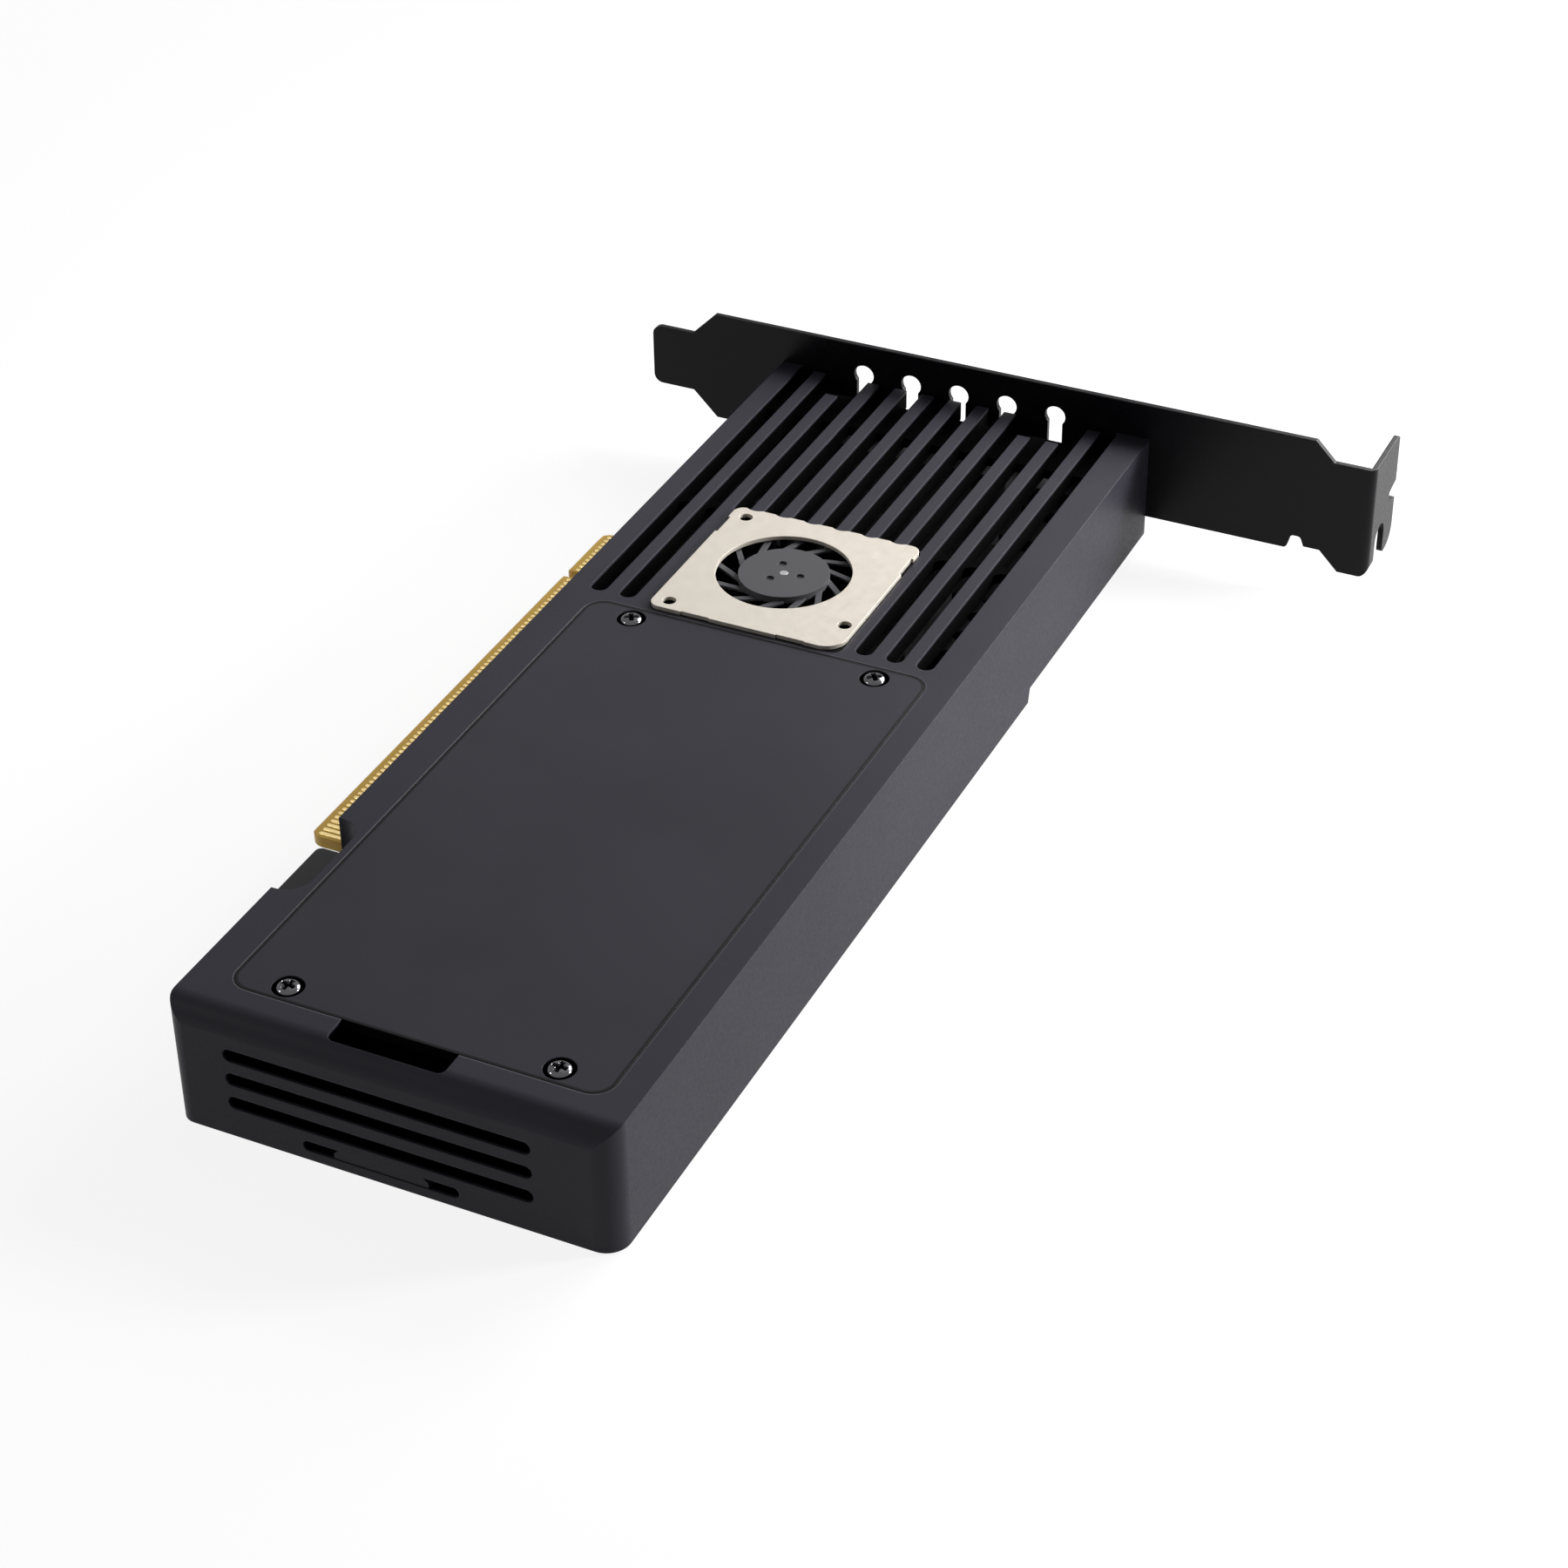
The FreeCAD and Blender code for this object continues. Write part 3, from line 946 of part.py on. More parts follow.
bore = rod("bearing_in", *AXIS, f"{FLOOR} + spindle_seat", PLATE_TOP, "spindle_round + spindle_play")
finish(minus("bearing_tube", tube, [bore]), "fan_bearing")
stator = minus("stator_core", rod("stator_out", *AXIS, f"{FLOOR} + stator_lift", f"{TUBE_TOP} - stator_drop",
                                  "stator_round"),
               [rod("stator_in", *AXIS, FLOOR, PLATE_TOP, "bearing_round")])
finish(stator, "fan_stator")
# impeller, modelled about its own axis
wheel = body("wheel_body")
sk = sketch(wheel, "hub", "XY", HUB_LOW)
rings(sk, [("0", "0", "hub_round")])
pad(wheel, sk, f"{HUB_TOP} - {HUB_LOW}")
doc.recompute()
sk = sketch(wheel, "blade", "XY", f"{FLOOR} + blade_base_gap")
block(sk, "blade_tangent - blade_thick", "blade_tangent",
      "-sqrt(blade_round * blade_round - blade_tangent * blade_tangent)", "-sqrt(hub_round * hub_round "
      "- blade_tangent * blade_tangent) + blade_thick")
blade = pad(wheel, sk, f"case_height - blade_drop - {FLOOR} - blade_base_gap")
doc.recompute()
fan_row = wheel.newObject("PartDesign::PolarPattern", "blades")
fan_row.Originals = [blade]
fan_row.Axis = (part_of(wheel.Origin, "Z_Axis"), [""])
fan_row.Angle = 360
bind(fan_row, "Occurrences", "blade_count")
wheel.Tip = fan_row
doc.recompute()
cut(wheel, rings(sketch(wheel, "hub_hollow", "XY", f"{HUB_TOP} - hub_roof"),
                 [("0", "0", "hub_round - hub_wall")]))
cut(wheel, rings(sketch(wheel, "spindle_hole", "XY", HUB_TOP), [("0", "0", "spindle_round")]))
sk = sketch(wheel, "dimple", "XY", HUB_TOP)
rings(sk, [("0", "dimple_ring", "dimple_round")])
dimple = cut(wheel, sk, "dimple_deep")
three = wheel.newObject("PartDesign::PolarPattern", "dimples")
three.Originals = [dimple]
three.Axis = (part_of(wheel.Origin, "Z_Axis"), [""])
three.Angle = 360
three.Occurrences = 3
wheel.Tip = three
doc.recompute()
finish(wheel, "fan_impeller", ROTOR_X, ROTOR_Y)
magnet = minus("magnet_ring", rod("magnet_out", *AXIS, f"{HUB_LOW} + magnet_lift", f"{HUB_TOP} - hub_roof",
                                  "hub_round - hub_wall"),
               [rod("magnet_in", *AXIS, FLOOR, PLATE_TOP, "hub_round - hub_wall - magnet_thick")])
finish(magnet, "fan_magnet")
spindle = rod("spindle", *AXIS, f"{FLOOR} + spindle_seat + spindle_gap", HUB_TOP, "spindle_round")
shaft = doc.addObject("Part::Compound", "spindle_solid")
shaft.Links = [spindle]
finish(shaft, "fan_shaft")

# ---------------------------------------------------------------- heat sink and chip
sink = body("sink_body")
sk = sketch(sink, "sink_plate", "XY", SINK_BASE)
near, far, low, high = EAR, f"{EAR} + ear_wide", FAN_LOW_Y, FAN_HIGH_Y
loop(sk, [("sink_rear", low), (near, low), (near, f"{low} - ear_reach"), (far, f"{low} - ear_reach"),
          (far, low), (FAN_HIGH_X, low), (FAN_HIGH_X, high), (far, high), (far, f"{high} + ear_reach"),
          (near, f"{high} + ear_reach"), (near, high), ("sink_rear", high)])
pad(sink, sk, "sink_base")
doc.recompute()
sk = sketch(sink, "fin", "XY", SINK_TOP)
fin_y = slot_y(LONG_LOW + 0.5)
block(sk, "fin_start", FAN_LOW_X, fin_y + " - fin_thick / 2", fin_y + " + fin_thick / 2")
fin = pad(sink, sk, f"{UNDER_ROOF} - fin_gap - {SINK_TOP}")
doc.recompute()
repeat(sink, fin, "Y", PITCH, SHORT - 1)
cut(sink, rings(sketch(sink, "sink_holes", "XY", SINK_TOP), [(x, y, "pass_hole") for x, y in SINK_SPOTS]))
finish(sink, "heat_sink")
CHIP = ("fan_x - chip_side / 2", "fan_x + chip_side / 2", f"{FAN_Y} - chip_side / 2",
        f"{FAN_Y} + chip_side / 2")
group("switch_chip", [box("chip_box", *CHIP, "board_top", CHIP_TOP)])
group("chip_heat_pad", [box("paste_box", *CHIP, CHIP_TOP, SINK_BASE)])

# ---------------------------------------------------------------- drive sockets and what holds the drives
DRIVE_MID = f"((lid_low + {LID_HIGH}) / 2)"
DRIVES = [f"({DRIVE_MID} - drive_pitch / 2)", f"({DRIVE_MID} + drive_pitch / 2)"]
DRIVE_X = "(case_length - drive_from_end)"
SOCKET_TALL = f"({UNDER_ROOF} - board_top - socket_clear)"
PAD_WIDE = f"({LID_HIGH} - lid_low - 2 * ledge_side - 2 * heatpad_side - drive_pitch)"
SOCKET = f"({LID_START} + socket_from_lid)"
SOCKET_END = f"({SOCKET} + socket_long)"
for side, tag, cover in ((1, "upper", "case_height - lid_thick"), (-1, "lower", "hatch_thick")):

    def away(distance):
        """Height at a distance from this side's face of the board."""
        return f"board_top + {distance}" if side > 0 else f"{BOARD_LOW} - ({distance})"

    def span(near, far):
        return (near, far) if side > 0 else (far, near)

    sockets, posts, screws, pads = [], [], [], []
    for i, y in enumerate(DRIVES):
        n = f"{tag}_{i}"
        shell = box(n + "_socket", SOCKET, SOCKET_END, f"{y} - socket_wide / 2", f"{y} + socket_wide / 2",
                    *span(away("0"), away(SOCKET_TALL)))
        mouth = box(n + "_mouth", f"{SOCKET_END} - socket_mouth", f"{SOCKET_END} + wall",
                    f"{y} - socket_wide / 2 + socket_side", f"{y} + socket_wide / 2 - socket_side",
                    *span(away(f"{SOCKET_TALL} / 2"), away(f"{SOCKET_TALL} / 2 + socket_slot")))
        sockets.append(minus(n + "_shell", shell, [mouth]))
        post = rod(n + "_post", DRIVE_X, y, *span(away("0"), away("standoff_tall")), "standoff_round")
        bore = rod(n + "_bore", DRIVE_X, y, *span(away("bore_floor"), away("standoff_tall + wall")),
                   "thread_hole")
        posts.append(minus(n + "_standoff", post, [bore]))
        screws.append(screw(n + "_screw", DRIVE_X, y, away("standoff_tall"), "drive_head_round",
                            "drive_head_tall", away("drive_screw_in"), side))
        pads.append(box(n + "_pad", f"{SOCKET_END} + heatpad_near", f"{DRIVE_X} - heatpad_far",
                        f"{y} - {PAD_WIDE} / 2", f"{y} + {PAD_WIDE} / 2",
                        *span(away("heatpad_above"), cover)))
    group(f"drive_sockets_{tag}", sockets)
    group(f"standoffs_{tag}", posts)
    group(f"drive_screws_{tag}", screws)
    group(f"drive_heat_pads_{tag}", pads)

# ---------------------------------------------------------------- board components


def brick(name, x, y, long, wide, tall):
    """Block that stands on the board, given its middle."""
    return box(name, f"{x} - {long} / 2", f"{x} + {long} / 2", f"{y} - {wide} / 2", f"{y} + {wide} / 2",
               "board_top", f"board_top + {tall}")


row = [f"coil_first + {i} * coil_pitch" for i in range(4)]
coils = [brick(f"coil_{i}", x, "case_width - coil_inset", "coil_side", "coil_side", "coil_tall")
         for i, x in enumerate(row)]
group("power_inductors", coils)
flats = [brick(f"regulator_{i}", x, "regulator_line", "regulator_side", "regulator_side", "regulator_tall")
         for i, x in enumerate(row)]
group("power_regulators", flats)
cans = [rod(f"can_{i}", f"can_first + {i} * can_pitch", "case_width - can_inset", "board_top",
            f"{UNDER_ROOF} - can_clear", "can_round") for i in range(3)]
group("capacitors", cans)
half_long, half_wide = "(header_long / 2 - header_shell)", "(header_wide / 2 - header_shell)"
well = box("header_well", f"header_x - {half_long}", f"header_x + {half_long}", f"header_y - {half_wide}",
           f"header_y + {half_wide}", "board_top + header_floor", "board_top + header_tall + wall")
header = brick("header_block", "header_x", "header_y", "header_long", "header_wide", "header_tall")
finish(minus("header_shell_cut", header, [well]), "fan_header")
group("oscillator", [brick("clock_box", "clock_x", "clock_y", "clock_long", "clock_wide", "clock_tall")])
memory = brick("memory_box", "memory_x", "memory_y", "memory_side", "memory_side", "memory_tall")
group("firmware_memory", [memory])

# ---------------------------------------------------------------- fasteners
group("top_cover_screws", [screw(f"lid_screw_{i}", x, y, SINK_FLOOR, "head_round", "head_tall",
                                 f"{UNDER_ROOF} - screw_out") for i, (x, y) in enumerate(LID_SPOTS)])
group("bottom_cover_screws", [screw(f"hatch_screw_{i}", x, y, "hatch_sink", "head_round", "hatch_head",
                                    "floor + screw_out", -1) for i, (x, y) in enumerate(LID_SPOTS)])
group("case_screws", [screw(f"case_screw_{i}", x, y, "post_sink", "head_round", "head_tall",
                            "board_top + screw_bite", -1) for i, (x, y) in enumerate(POSTS)])
group("heat_sink_screws", [screw(f"sink_screw_{i}", x, y, SINK_TOP, "head_round", "head_tall",
                                 f"{BOARD_LOW} - screw_out") for i, (x, y) in enumerate(SINK_SPOTS)])
holders = body("bracket_screw_body")
sk = sketch(holders, "bracket_screw_profile", "XZ", "0")
loop(sk, [("-sheet", "0"), ("-sheet", "sunk_head"), ("0", "shank_round"),
          ("boss_long - post_skin", "shank_round"), ("boss_long - post_skin", "0")])
turn = holders.newObject("PartDesign::Revolution", "bracket_screw_turn")
turn.Profile = sk
turn.ReferenceAxis = (part_of(holders.Origin, "X_Axis"), [""])
turn.Angle = 360
doc.recompute()
pair = []
for tag, y in (("low", "boss_inset"), ("high", "case_width - boss_inset")):
    one = doc.addObject("App::Link", "bracket_screw_" + tag)
    one.LinkedObject = holders
    one.LinkTransform = False
    bind(one, "Placement.Base.y", y)
    bind(one, "Placement.Base.z", "boss_lift")
    pair.append(one)
group("bracket_screws", pair)

doc.recompute()
bad = [o.Name for o in doc.Objects if any(s in ("Invalid", "Error") for s in o.State)]
assert not bad, bad
for node in NODES:
    shape = node.Shape
    assert shape.isValid() and shape.Solids, node.Label
    shape.exportStep(f"parts/{node.Label}.step")
    print(node.Label, len(shape.Solids), round(shape.Volume, 1))
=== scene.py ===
import bpy
import math
import numpy as np
from mathutils import Matrix, Vector


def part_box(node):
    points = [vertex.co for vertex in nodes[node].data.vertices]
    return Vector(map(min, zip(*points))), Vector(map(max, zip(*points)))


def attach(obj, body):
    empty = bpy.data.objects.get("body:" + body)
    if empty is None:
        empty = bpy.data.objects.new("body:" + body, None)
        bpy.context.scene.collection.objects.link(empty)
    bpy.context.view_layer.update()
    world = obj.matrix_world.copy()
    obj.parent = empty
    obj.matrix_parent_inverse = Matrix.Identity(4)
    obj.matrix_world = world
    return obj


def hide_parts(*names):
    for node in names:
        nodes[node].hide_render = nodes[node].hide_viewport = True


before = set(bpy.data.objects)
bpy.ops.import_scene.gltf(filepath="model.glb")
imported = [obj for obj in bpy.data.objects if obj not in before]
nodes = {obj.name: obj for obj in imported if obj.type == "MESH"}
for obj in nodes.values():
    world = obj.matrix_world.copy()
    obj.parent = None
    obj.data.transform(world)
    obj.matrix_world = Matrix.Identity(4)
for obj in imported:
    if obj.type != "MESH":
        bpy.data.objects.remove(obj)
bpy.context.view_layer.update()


# ---- Studio ------------------------------------------------------------------------------------
# A wide white table in a pale room, with soft lamps round it. The card lies on the table, and the
# camera looks down on its free end and plain long side through a long lens.
def middle(low, high):
    """Halfway between two corners."""
    return (Vector(low) + Vector(high)) / 2


def span(node):
    """Lowest corner, highest corner and middle of a node at rest."""
    low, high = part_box(node)
    return low, high, middle(low, high)


def stand(thing):
    """Put an object into the scene."""
    bpy.context.scene.collection.objects.link(thing)


lens_mm, film_mm = 80.25, 36.0
azimuth, elevation, roll = math.radians(116.15), math.radians(34.68), math.radians(-1.067)
camera_spot = Vector((0.36068, 0.17393, 0.28279))
camera = bpy.data.cameras.new("camera")
camera.lens, camera.sensor_width = lens_mm, film_mm
camera.shift_x, camera.shift_y = 0.0200, -0.0192
camera.clip_start, camera.clip_end = 0.01, 20.0
camera_object = bpy.data.objects.new("camera", camera)
tilt = Matrix.Rotation(azimuth, 4, "Z") @ Matrix.Rotation(math.pi / 2 - elevation, 4, "X")
camera_object.matrix_world = Matrix.Translation(camera_spot) @ tilt @ Matrix.Rotation(roll, 4, "Z")
stand(camera_object)
bpy.context.scene.camera = camera_object
bpy.context.scene.view_settings.view_transform = "Standard"


def node_material(name):
    """New node material with its tree and its shader."""
    material = bpy.data.materials.new(name)
    material.use_nodes = True
    tree = material.node_tree
    return material, tree, tree.nodes["Principled BSDF"]


def feed(tree, value, target):
    """Set a socket to a fixed value, or link another node's output to it."""
    if isinstance(value, bpy.types.NodeSocket):
        tree.links.new(value, target)
    else:
        target.default_value = value


def calc(tree, operation, first, second=0.0):
    """One arithmetic step on two numbers or sockets."""
    step = tree.nodes.new("ShaderNodeMath")
    step.operation = operation
    feed(tree, first, step.inputs[0])
    feed(tree, second, step.inputs[1])
    return step.outputs[0]


def vector_calc(tree, operation, first, second=(0.0, 0.0, 0.0)):
    """One step of vector arithmetic on a socket and a fixed vector."""
    step = tree.nodes.new("ShaderNodeVectorMath")
    step.operation = operation
    feed(tree, first, step.inputs[0])
    feed(tree, second, step.inputs[1])
    return step.outputs["Value"] if operation == "LENGTH" else step.outputs["Vector"]


def between(tree, factor, low, high, start=0.0, end=1.0):
    """Number running from low to high as factor runs from start to end."""
    ramp = tree.nodes.new("ShaderNodeMapRange")
    ramp.inputs["From Min"].default_value, ramp.inputs["From Max"].default_value = start, end
    ramp.inputs["To Min"].default_value, ramp.inputs["To Max"].default_value = low, high
    feed(tree, factor, ramp.inputs["Value"])
    return ramp.outputs["Result"]


def either_shader(tree, factor, first, second, target):
    """Mix two shaders by factor into the target."""
    blend = tree.nodes.new("ShaderNodeMixShader")
    for value, socket in zip((factor, first, second), blend.inputs):
        feed(tree, value, socket)
    feed(tree, blend.outputs[0], target)


def seen_directly(tree):
    """One where the eye, a reflection or glass sees the surface, else nought."""
    rays = tree.nodes.new("ShaderNodeLightPath").outputs
    seen = calc(tree, "MAXIMUM", rays["Is Camera Ray"], rays["Is Glossy Ray"])
    return calc(tree, "MAXIMUM", seen, rays["Is Transmission Ray"])


# The table is plain white where it is seen, and near the card it keeps a share of the card's shadow.
floor_half, floor_drop, floor_white, floor_rough = 6.0, 0.0002, 0.93, 0.9
shadow_kept, shadow_from, shadow_to = 0.13, 0.20, 0.45
floor_mesh = bpy.data.meshes.new("table_top")
floor_corners = [(-floor_half, -floor_half, 0), (floor_half, -floor_half, 0), (floor_half, floor_half, 0),
                 (-floor_half, floor_half, 0)]
floor_mesh.from_pydata(floor_corners, [], [(0, 1, 2, 3)])
table_top = bpy.data.objects.new("table_top", floor_mesh)
stand(table_top)
table_top.location.z = -floor_drop
paper, tree, shader = node_material("white_paper")
shader.inputs["Base Color"].default_value = (floor_white, floor_white, floor_white, 1)
shader.inputs["Roughness"].default_value = floor_rough
shader.inputs["Specular IOR Level"].default_value = 0.0
glow = tree.nodes.new("ShaderNodeEmission")
glow.inputs["Color"].default_value = (1, 1, 1, 1)
glow.inputs["Strength"].default_value = 1.0
reach = vector_calc(tree, "LENGTH", tree.nodes.new("ShaderNodeTexCoord").outputs["Object"])
fade = between(tree, reach, 1 - shadow_kept, 1.0, shadow_from, shadow_to)
either_shader(tree, calc(tree, "MULTIPLY", seen_directly(tree), fade), shader.outputs[0], glow.outputs[0],
              tree.nodes["Material Output"].inputs["Surface"])
floor_mesh.materials.append(paper)

room_light, room_pale = 0.08, 0.8
world = bpy.data.worlds.new("studio")
bpy.context.scene.world = world
world.use_nodes = True
sky = world.node_tree
dim = sky.nodes["Background"]
dim.inputs["Color"].default_value = (1, 1, 1, 1)
dim.inputs["Strength"].default_value = room_light
pale = sky.nodes.new("ShaderNodeBackground")
pale.inputs["Color"].default_value = (room_pale, room_pale, room_pale, 1)
pale.inputs["Strength"].default_value = 1.0
either_shader(sky, seen_directly(sky), dim.outputs[0], pale.outputs[0],
              sky.nodes["World Output"].inputs["Surface"])


def lamp(name, azimuth_deg, elevation_deg, distance, size, power):
    """Square soft lamp aimed at the middle of the case. Distance and size are in metres, power in watts."""
    a, e = math.radians(azimuth_deg), math.radians(elevation_deg)
    away = Vector((math.sin(a) * math.cos(e), -math.cos(a) * math.cos(e), math.sin(e)))
    light = bpy.data.lights.new(name, "AREA")
    light.shape, light.size, light.energy = "SQUARE", size, power
    thing = bpy.data.objects.new(name, light)
    thing.location = case_mid + away * distance
    thing.rotation_euler = away.to_track_quat("Z", "Y").to_euler()
    stand(thing)


case_low, case_high, case_mid = span("housing")
lamp("back_lamp", 244, 30, 0.32, 0.22, 2.1)
lamp("overhead_lamp", 265, 62, 1.1, 0.8, 0.7)
lamp("rear_right_lamp", 208, 20, 0.6, 0.10, 4.6)
lamp("left_lamp", 34, 26, 0.6, 0.06, 0.7)


# ---- Housing and base --------------------------------------------------------------------------
# One moulded shell with vent slots in its roof and at its free end, screwed to a shallow base from below.
# Both are charcoal polycarbonate with a very fine spark-eroded grain. Inside the slots and the finger scoop,
# shade is painted black.
def linear(value):
    """Linear light of a display value from 0 to 255."""
    c = value / 255
    return c / 12.92 if c <= 0.04045 else ((c + 0.055) / 1.055) ** 2.4


def shade(red, green, blue):
    """Linear colour of display values."""
    return (linear(red), linear(green), linear(blue), 1.0)


def place(tree, scale=(1.0, 1.0, 1.0)):
    """Object coordinates, scaled along X, Y and Z."""
    where = tree.nodes.new("ShaderNodeTexCoord")
    fit = tree.nodes.new("ShaderNodeMapping")
    fit.inputs["Scale"].default_value = scale
    feed(tree, where.outputs["Object"], fit.inputs["Vector"])
    return fit.outputs["Vector"]


def noise(tree, where, scale, detail=2.0, rough=0.5):
    """Noise pattern's factor, about nought to one."""
    n = tree.nodes.new("ShaderNodeTexNoise")
    n.inputs["Scale"].default_value = scale
    n.inputs["Detail"].default_value = detail
    n.inputs["Roughness"].default_value = rough
    feed(tree, where, n.inputs["Vector"])
    return n.outputs["Fac"]


def tint(tree, factor, first, second):
    """Colour between two, by factor. Each may be a fixed colour or a socket."""
    mix = tree.nodes.new("ShaderNodeMix")
    mix.data_type = "RGBA"
    factor_slot, first_slot, second_slot = mix.inputs[0], mix.inputs[6], mix.inputs[7]
    feed(tree, first, first_slot)
    feed(tree, second, second_slot)
    feed(tree, factor, factor_slot)
    return mix.outputs[2]


def relief(tree, shader, height, depth, soft_edge):
    """Bump of that depth in metres, over edges rounded by the soft edge's radius."""
    edge_samples = 6
    bump = tree.nodes.new("ShaderNodeBump")
    bump.inputs["Distance"].default_value = depth
    bump.inputs["Strength"].default_value = 1.0
    feed(tree, height, bump.inputs["Height"])
    edge = tree.nodes.new("ShaderNodeBevel")
    edge.samples = edge_samples
    edge.inputs["Radius"].default_value = soft_edge
    feed(tree, edge.outputs["Normal"], bump.inputs["Normal"])
    feed(tree, bump.outputs["Normal"], shader.inputs["Normal"])


def parts_of(tree, vector):
    """X, Y and Z of a vector."""
    apart = tree.nodes.new("ShaderNodeSeparateXYZ")
    feed(tree, vector, apart.inputs["Vector"])
    return apart.outputs["X"], apart.outputs["Y"], apart.outputs["Z"]


def within(tree, where, low, high):
    """One inside the box from low to high, falling to nought at its faces over a soft width."""
    soft = 0.15 * mm
    centre, half = middle(low, high), (Vector(high) - Vector(low)) / 2
    off_centre = vector_calc(tree, "ABSOLUTE", vector_calc(tree, "SUBTRACT", where, centre))
    x, y, z = parts_of(tree, vector_calc(tree, "SUBTRACT", off_centre, half))
    furthest = calc(tree, "MAXIMUM", calc(tree, "MAXIMUM", x, y), z)
    return between(tree, furthest, 1.0, 0.0, -soft, 0.0)


def from_rim(tree, where, low, high, corner):
    """Distance inwards from an upright-sided outline with round corners, below nought outside it."""
    centre, half = middle(low, high), (Vector(high) - Vector(low)) / 2 - Vector((corner, corner, 0))
    flat = vector_calc(tree, "MULTIPLY", vector_calc(tree, "SUBTRACT", where, centre), (1, 1, 0))
    past = vector_calc(tree, "SUBTRACT", vector_calc(tree, "ABSOLUTE", flat), (half.x, half.y, 0))
    x, y = parts_of(tree, past)[:2]
    outer = vector_calc(tree, "LENGTH", vector_calc(tree, "MAXIMUM", past))
    inner = calc(tree, "MINIMUM", calc(tree, "MAXIMUM", x, y))
    return calc(tree, "SUBTRACT", corner, calc(tree, "ADD", outer, inner))


mm = 0.001
noise_span = (0.3, 0.7)  # where the values of a noise pattern mostly lie
fine_grain, fine_depth, fine_edge = 0.45 * mm, 0.005 * mm, 0.18 * mm


def moulded(name, dark, light, rough, grain=fine_grain, depth=fine_depth, soft_edge=fine_edge, gloss=0.12,
            painted_shade_boxes=(), painted_rim=None):
    """Moulded plastic: two near tones in slow patches, a fine grain and softened edges.

    Insides within the boxes given for painted shade are painted black as shade, with no reflection. The rim
    function paints a highlight or a shade along a rim: it gives a factor and colour.
    """
    patch_scale, patch_span, rough_spread = 38.0, (0.35, 0.65), 0.05
    material, tree, shader = node_material(name)
    where = place(tree)
    patches = between(tree, noise(tree, where, patch_scale, 3.0), 0.0, 1.0, *patch_span)
    colour = tint(tree, patches, dark, light)
    fine = noise(tree, where, 1.0 / grain, 2.0, 0.6)
    rough_here = between(tree, fine, rough - rough_spread, rough + rough_spread, *noise_span)
    if painted_rim:
        factor, rim_colour = painted_rim(tree, where)
        colour = tint(tree, factor, colour, rim_colour)
    # Painted shade: insides in these boxes go black, fully rough and metallic, so they show no reflection.
    if painted_shade_boxes:
        inside = within(tree, where, *painted_shade_boxes[0])
        for low, high in painted_shade_boxes[1:]:
            inside = calc(tree, "MAXIMUM", inside, within(tree, where, low, high))
        colour = tint(tree, inside, colour, shade(0, 0, 0))
        rough_here = calc(tree, "MAXIMUM", rough_here, inside)
        feed(tree, inside, shader.inputs["Metallic"])
    feed(tree, colour, shader.inputs["Base Color"])
    feed(tree, rough_here, shader.inputs["Roughness"])
    shader.inputs["Specular IOR Level"].default_value = gloss
    relief(tree, shader, fine, depth, soft_edge)
    return material


def dress(name, material):
    """Give a frame node its finish."""
    nodes[name].data.materials.clear()
    nodes[name].data.materials.append(material)


# The insides painted black as shade reach from beyond the card up to a thin skin, and stop short of each wall
# by its own value.
far, skin = 1.0, 0.3 * mm
latch_wall, plain_wall, end_wall, nose, scoop_end = 3.1 * mm, 4.8 * mm, 4 * mm, 3.2 * mm, 1.8 * mm
cover_low, cover_high, cover_mid = span("top_cover")
cover_corner, cover_gap = 3.0 * mm, 0.1 * mm
case_tone = (shade(34, 33, 40), shade(38, 37, 44))
case_rough = 0.46
vents = ((case_low.x - far, case_low.y + latch_wall, -far),
         (cover_low.x - mm, case_high.y - plain_wall, case_high.z - skin))
end_slots = ((cover_mid.x, case_low.y + end_wall, -far),
             (case_high.x - skin, case_high.y - end_wall, case_high.z - nose))
scoop = ((cover_high.x - mm, case_low.y + end_wall, -far),
         (case_high.x - scoop_end, case_high.y - end_wall, case_high.z - skin))


def recess_highlight(tree, where):
    """Painted highlight: a pale line along the edge of the recess that the cover lies in, on the roof's outer
    face alone.
    """
    line_share, line_core, line_fade = 0.45, 0.05 * mm, 0.14 * mm
    off = from_rim(tree, where, cover_low, cover_high, cover_corner)
    off_line = calc(tree, "ABSOLUTE", calc(tree, "ADD", off, 2 * cover_gap))
    line = between(tree, off_line, line_share, 0.0, line_core, line_fade)
    height = parts_of(tree, where)[2]
    on_roof = between(tree, height, 0.0, 1.0, case_high.z - skin, case_high.z)
    return calc(tree, "MULTIPLY", line, on_roof), shade(80, 80, 84)


dress("housing", moulded("charcoal_case", *case_tone, case_rough, painted_shade_boxes=(vents, end_slots, scoop),
                         painted_rim=recess_highlight))
dress("base_shell", moulded("charcoal_base", *case_tone, case_rough))


# ---- Access covers -----------------------------------------------------------------------------
# Two flat lids, one above and one below, that lift off to reach the drives. Same plastic as the case with a
# smoother face, each held by four screws sunk in round wells.
def cover_edge_shade(tree, where):
    """Painted shade: a dark line along the cover's edge, where it falls away into the gap round it."""
    edge_dark, edge_clear = 0.30 * mm, 0.50 * mm
    off = from_rim(tree, where, cover_low, cover_high, cover_corner)
    return between(tree, off, 1.0, 0.0, edge_dark, edge_clear), shade(3, 3, 4)


cover_tone = (shade(35, 34, 40), shade(39, 38, 44))
cover_finish = (0.42, 0.35 * mm, 0.003 * mm, 0.12 * mm)  # roughness, grain, its depth and the soft edge
# Painted shade: below a thin rim at its top, the cover is black in its screw wells and on its side faces.
well_rim = 0.12 * mm
wells = ((cover_low.x, cover_low.y, case_mid.z), (cover_high.x, cover_high.y, cover_high.z - well_rim))
dress("top_cover", moulded("cover_plastic", *cover_tone, *cover_finish, painted_shade_boxes=(wells,), painted_rim=cover_edge_shade))
dress("bottom_cover", moulded("hatch_plastic", *cover_tone, *cover_finish))

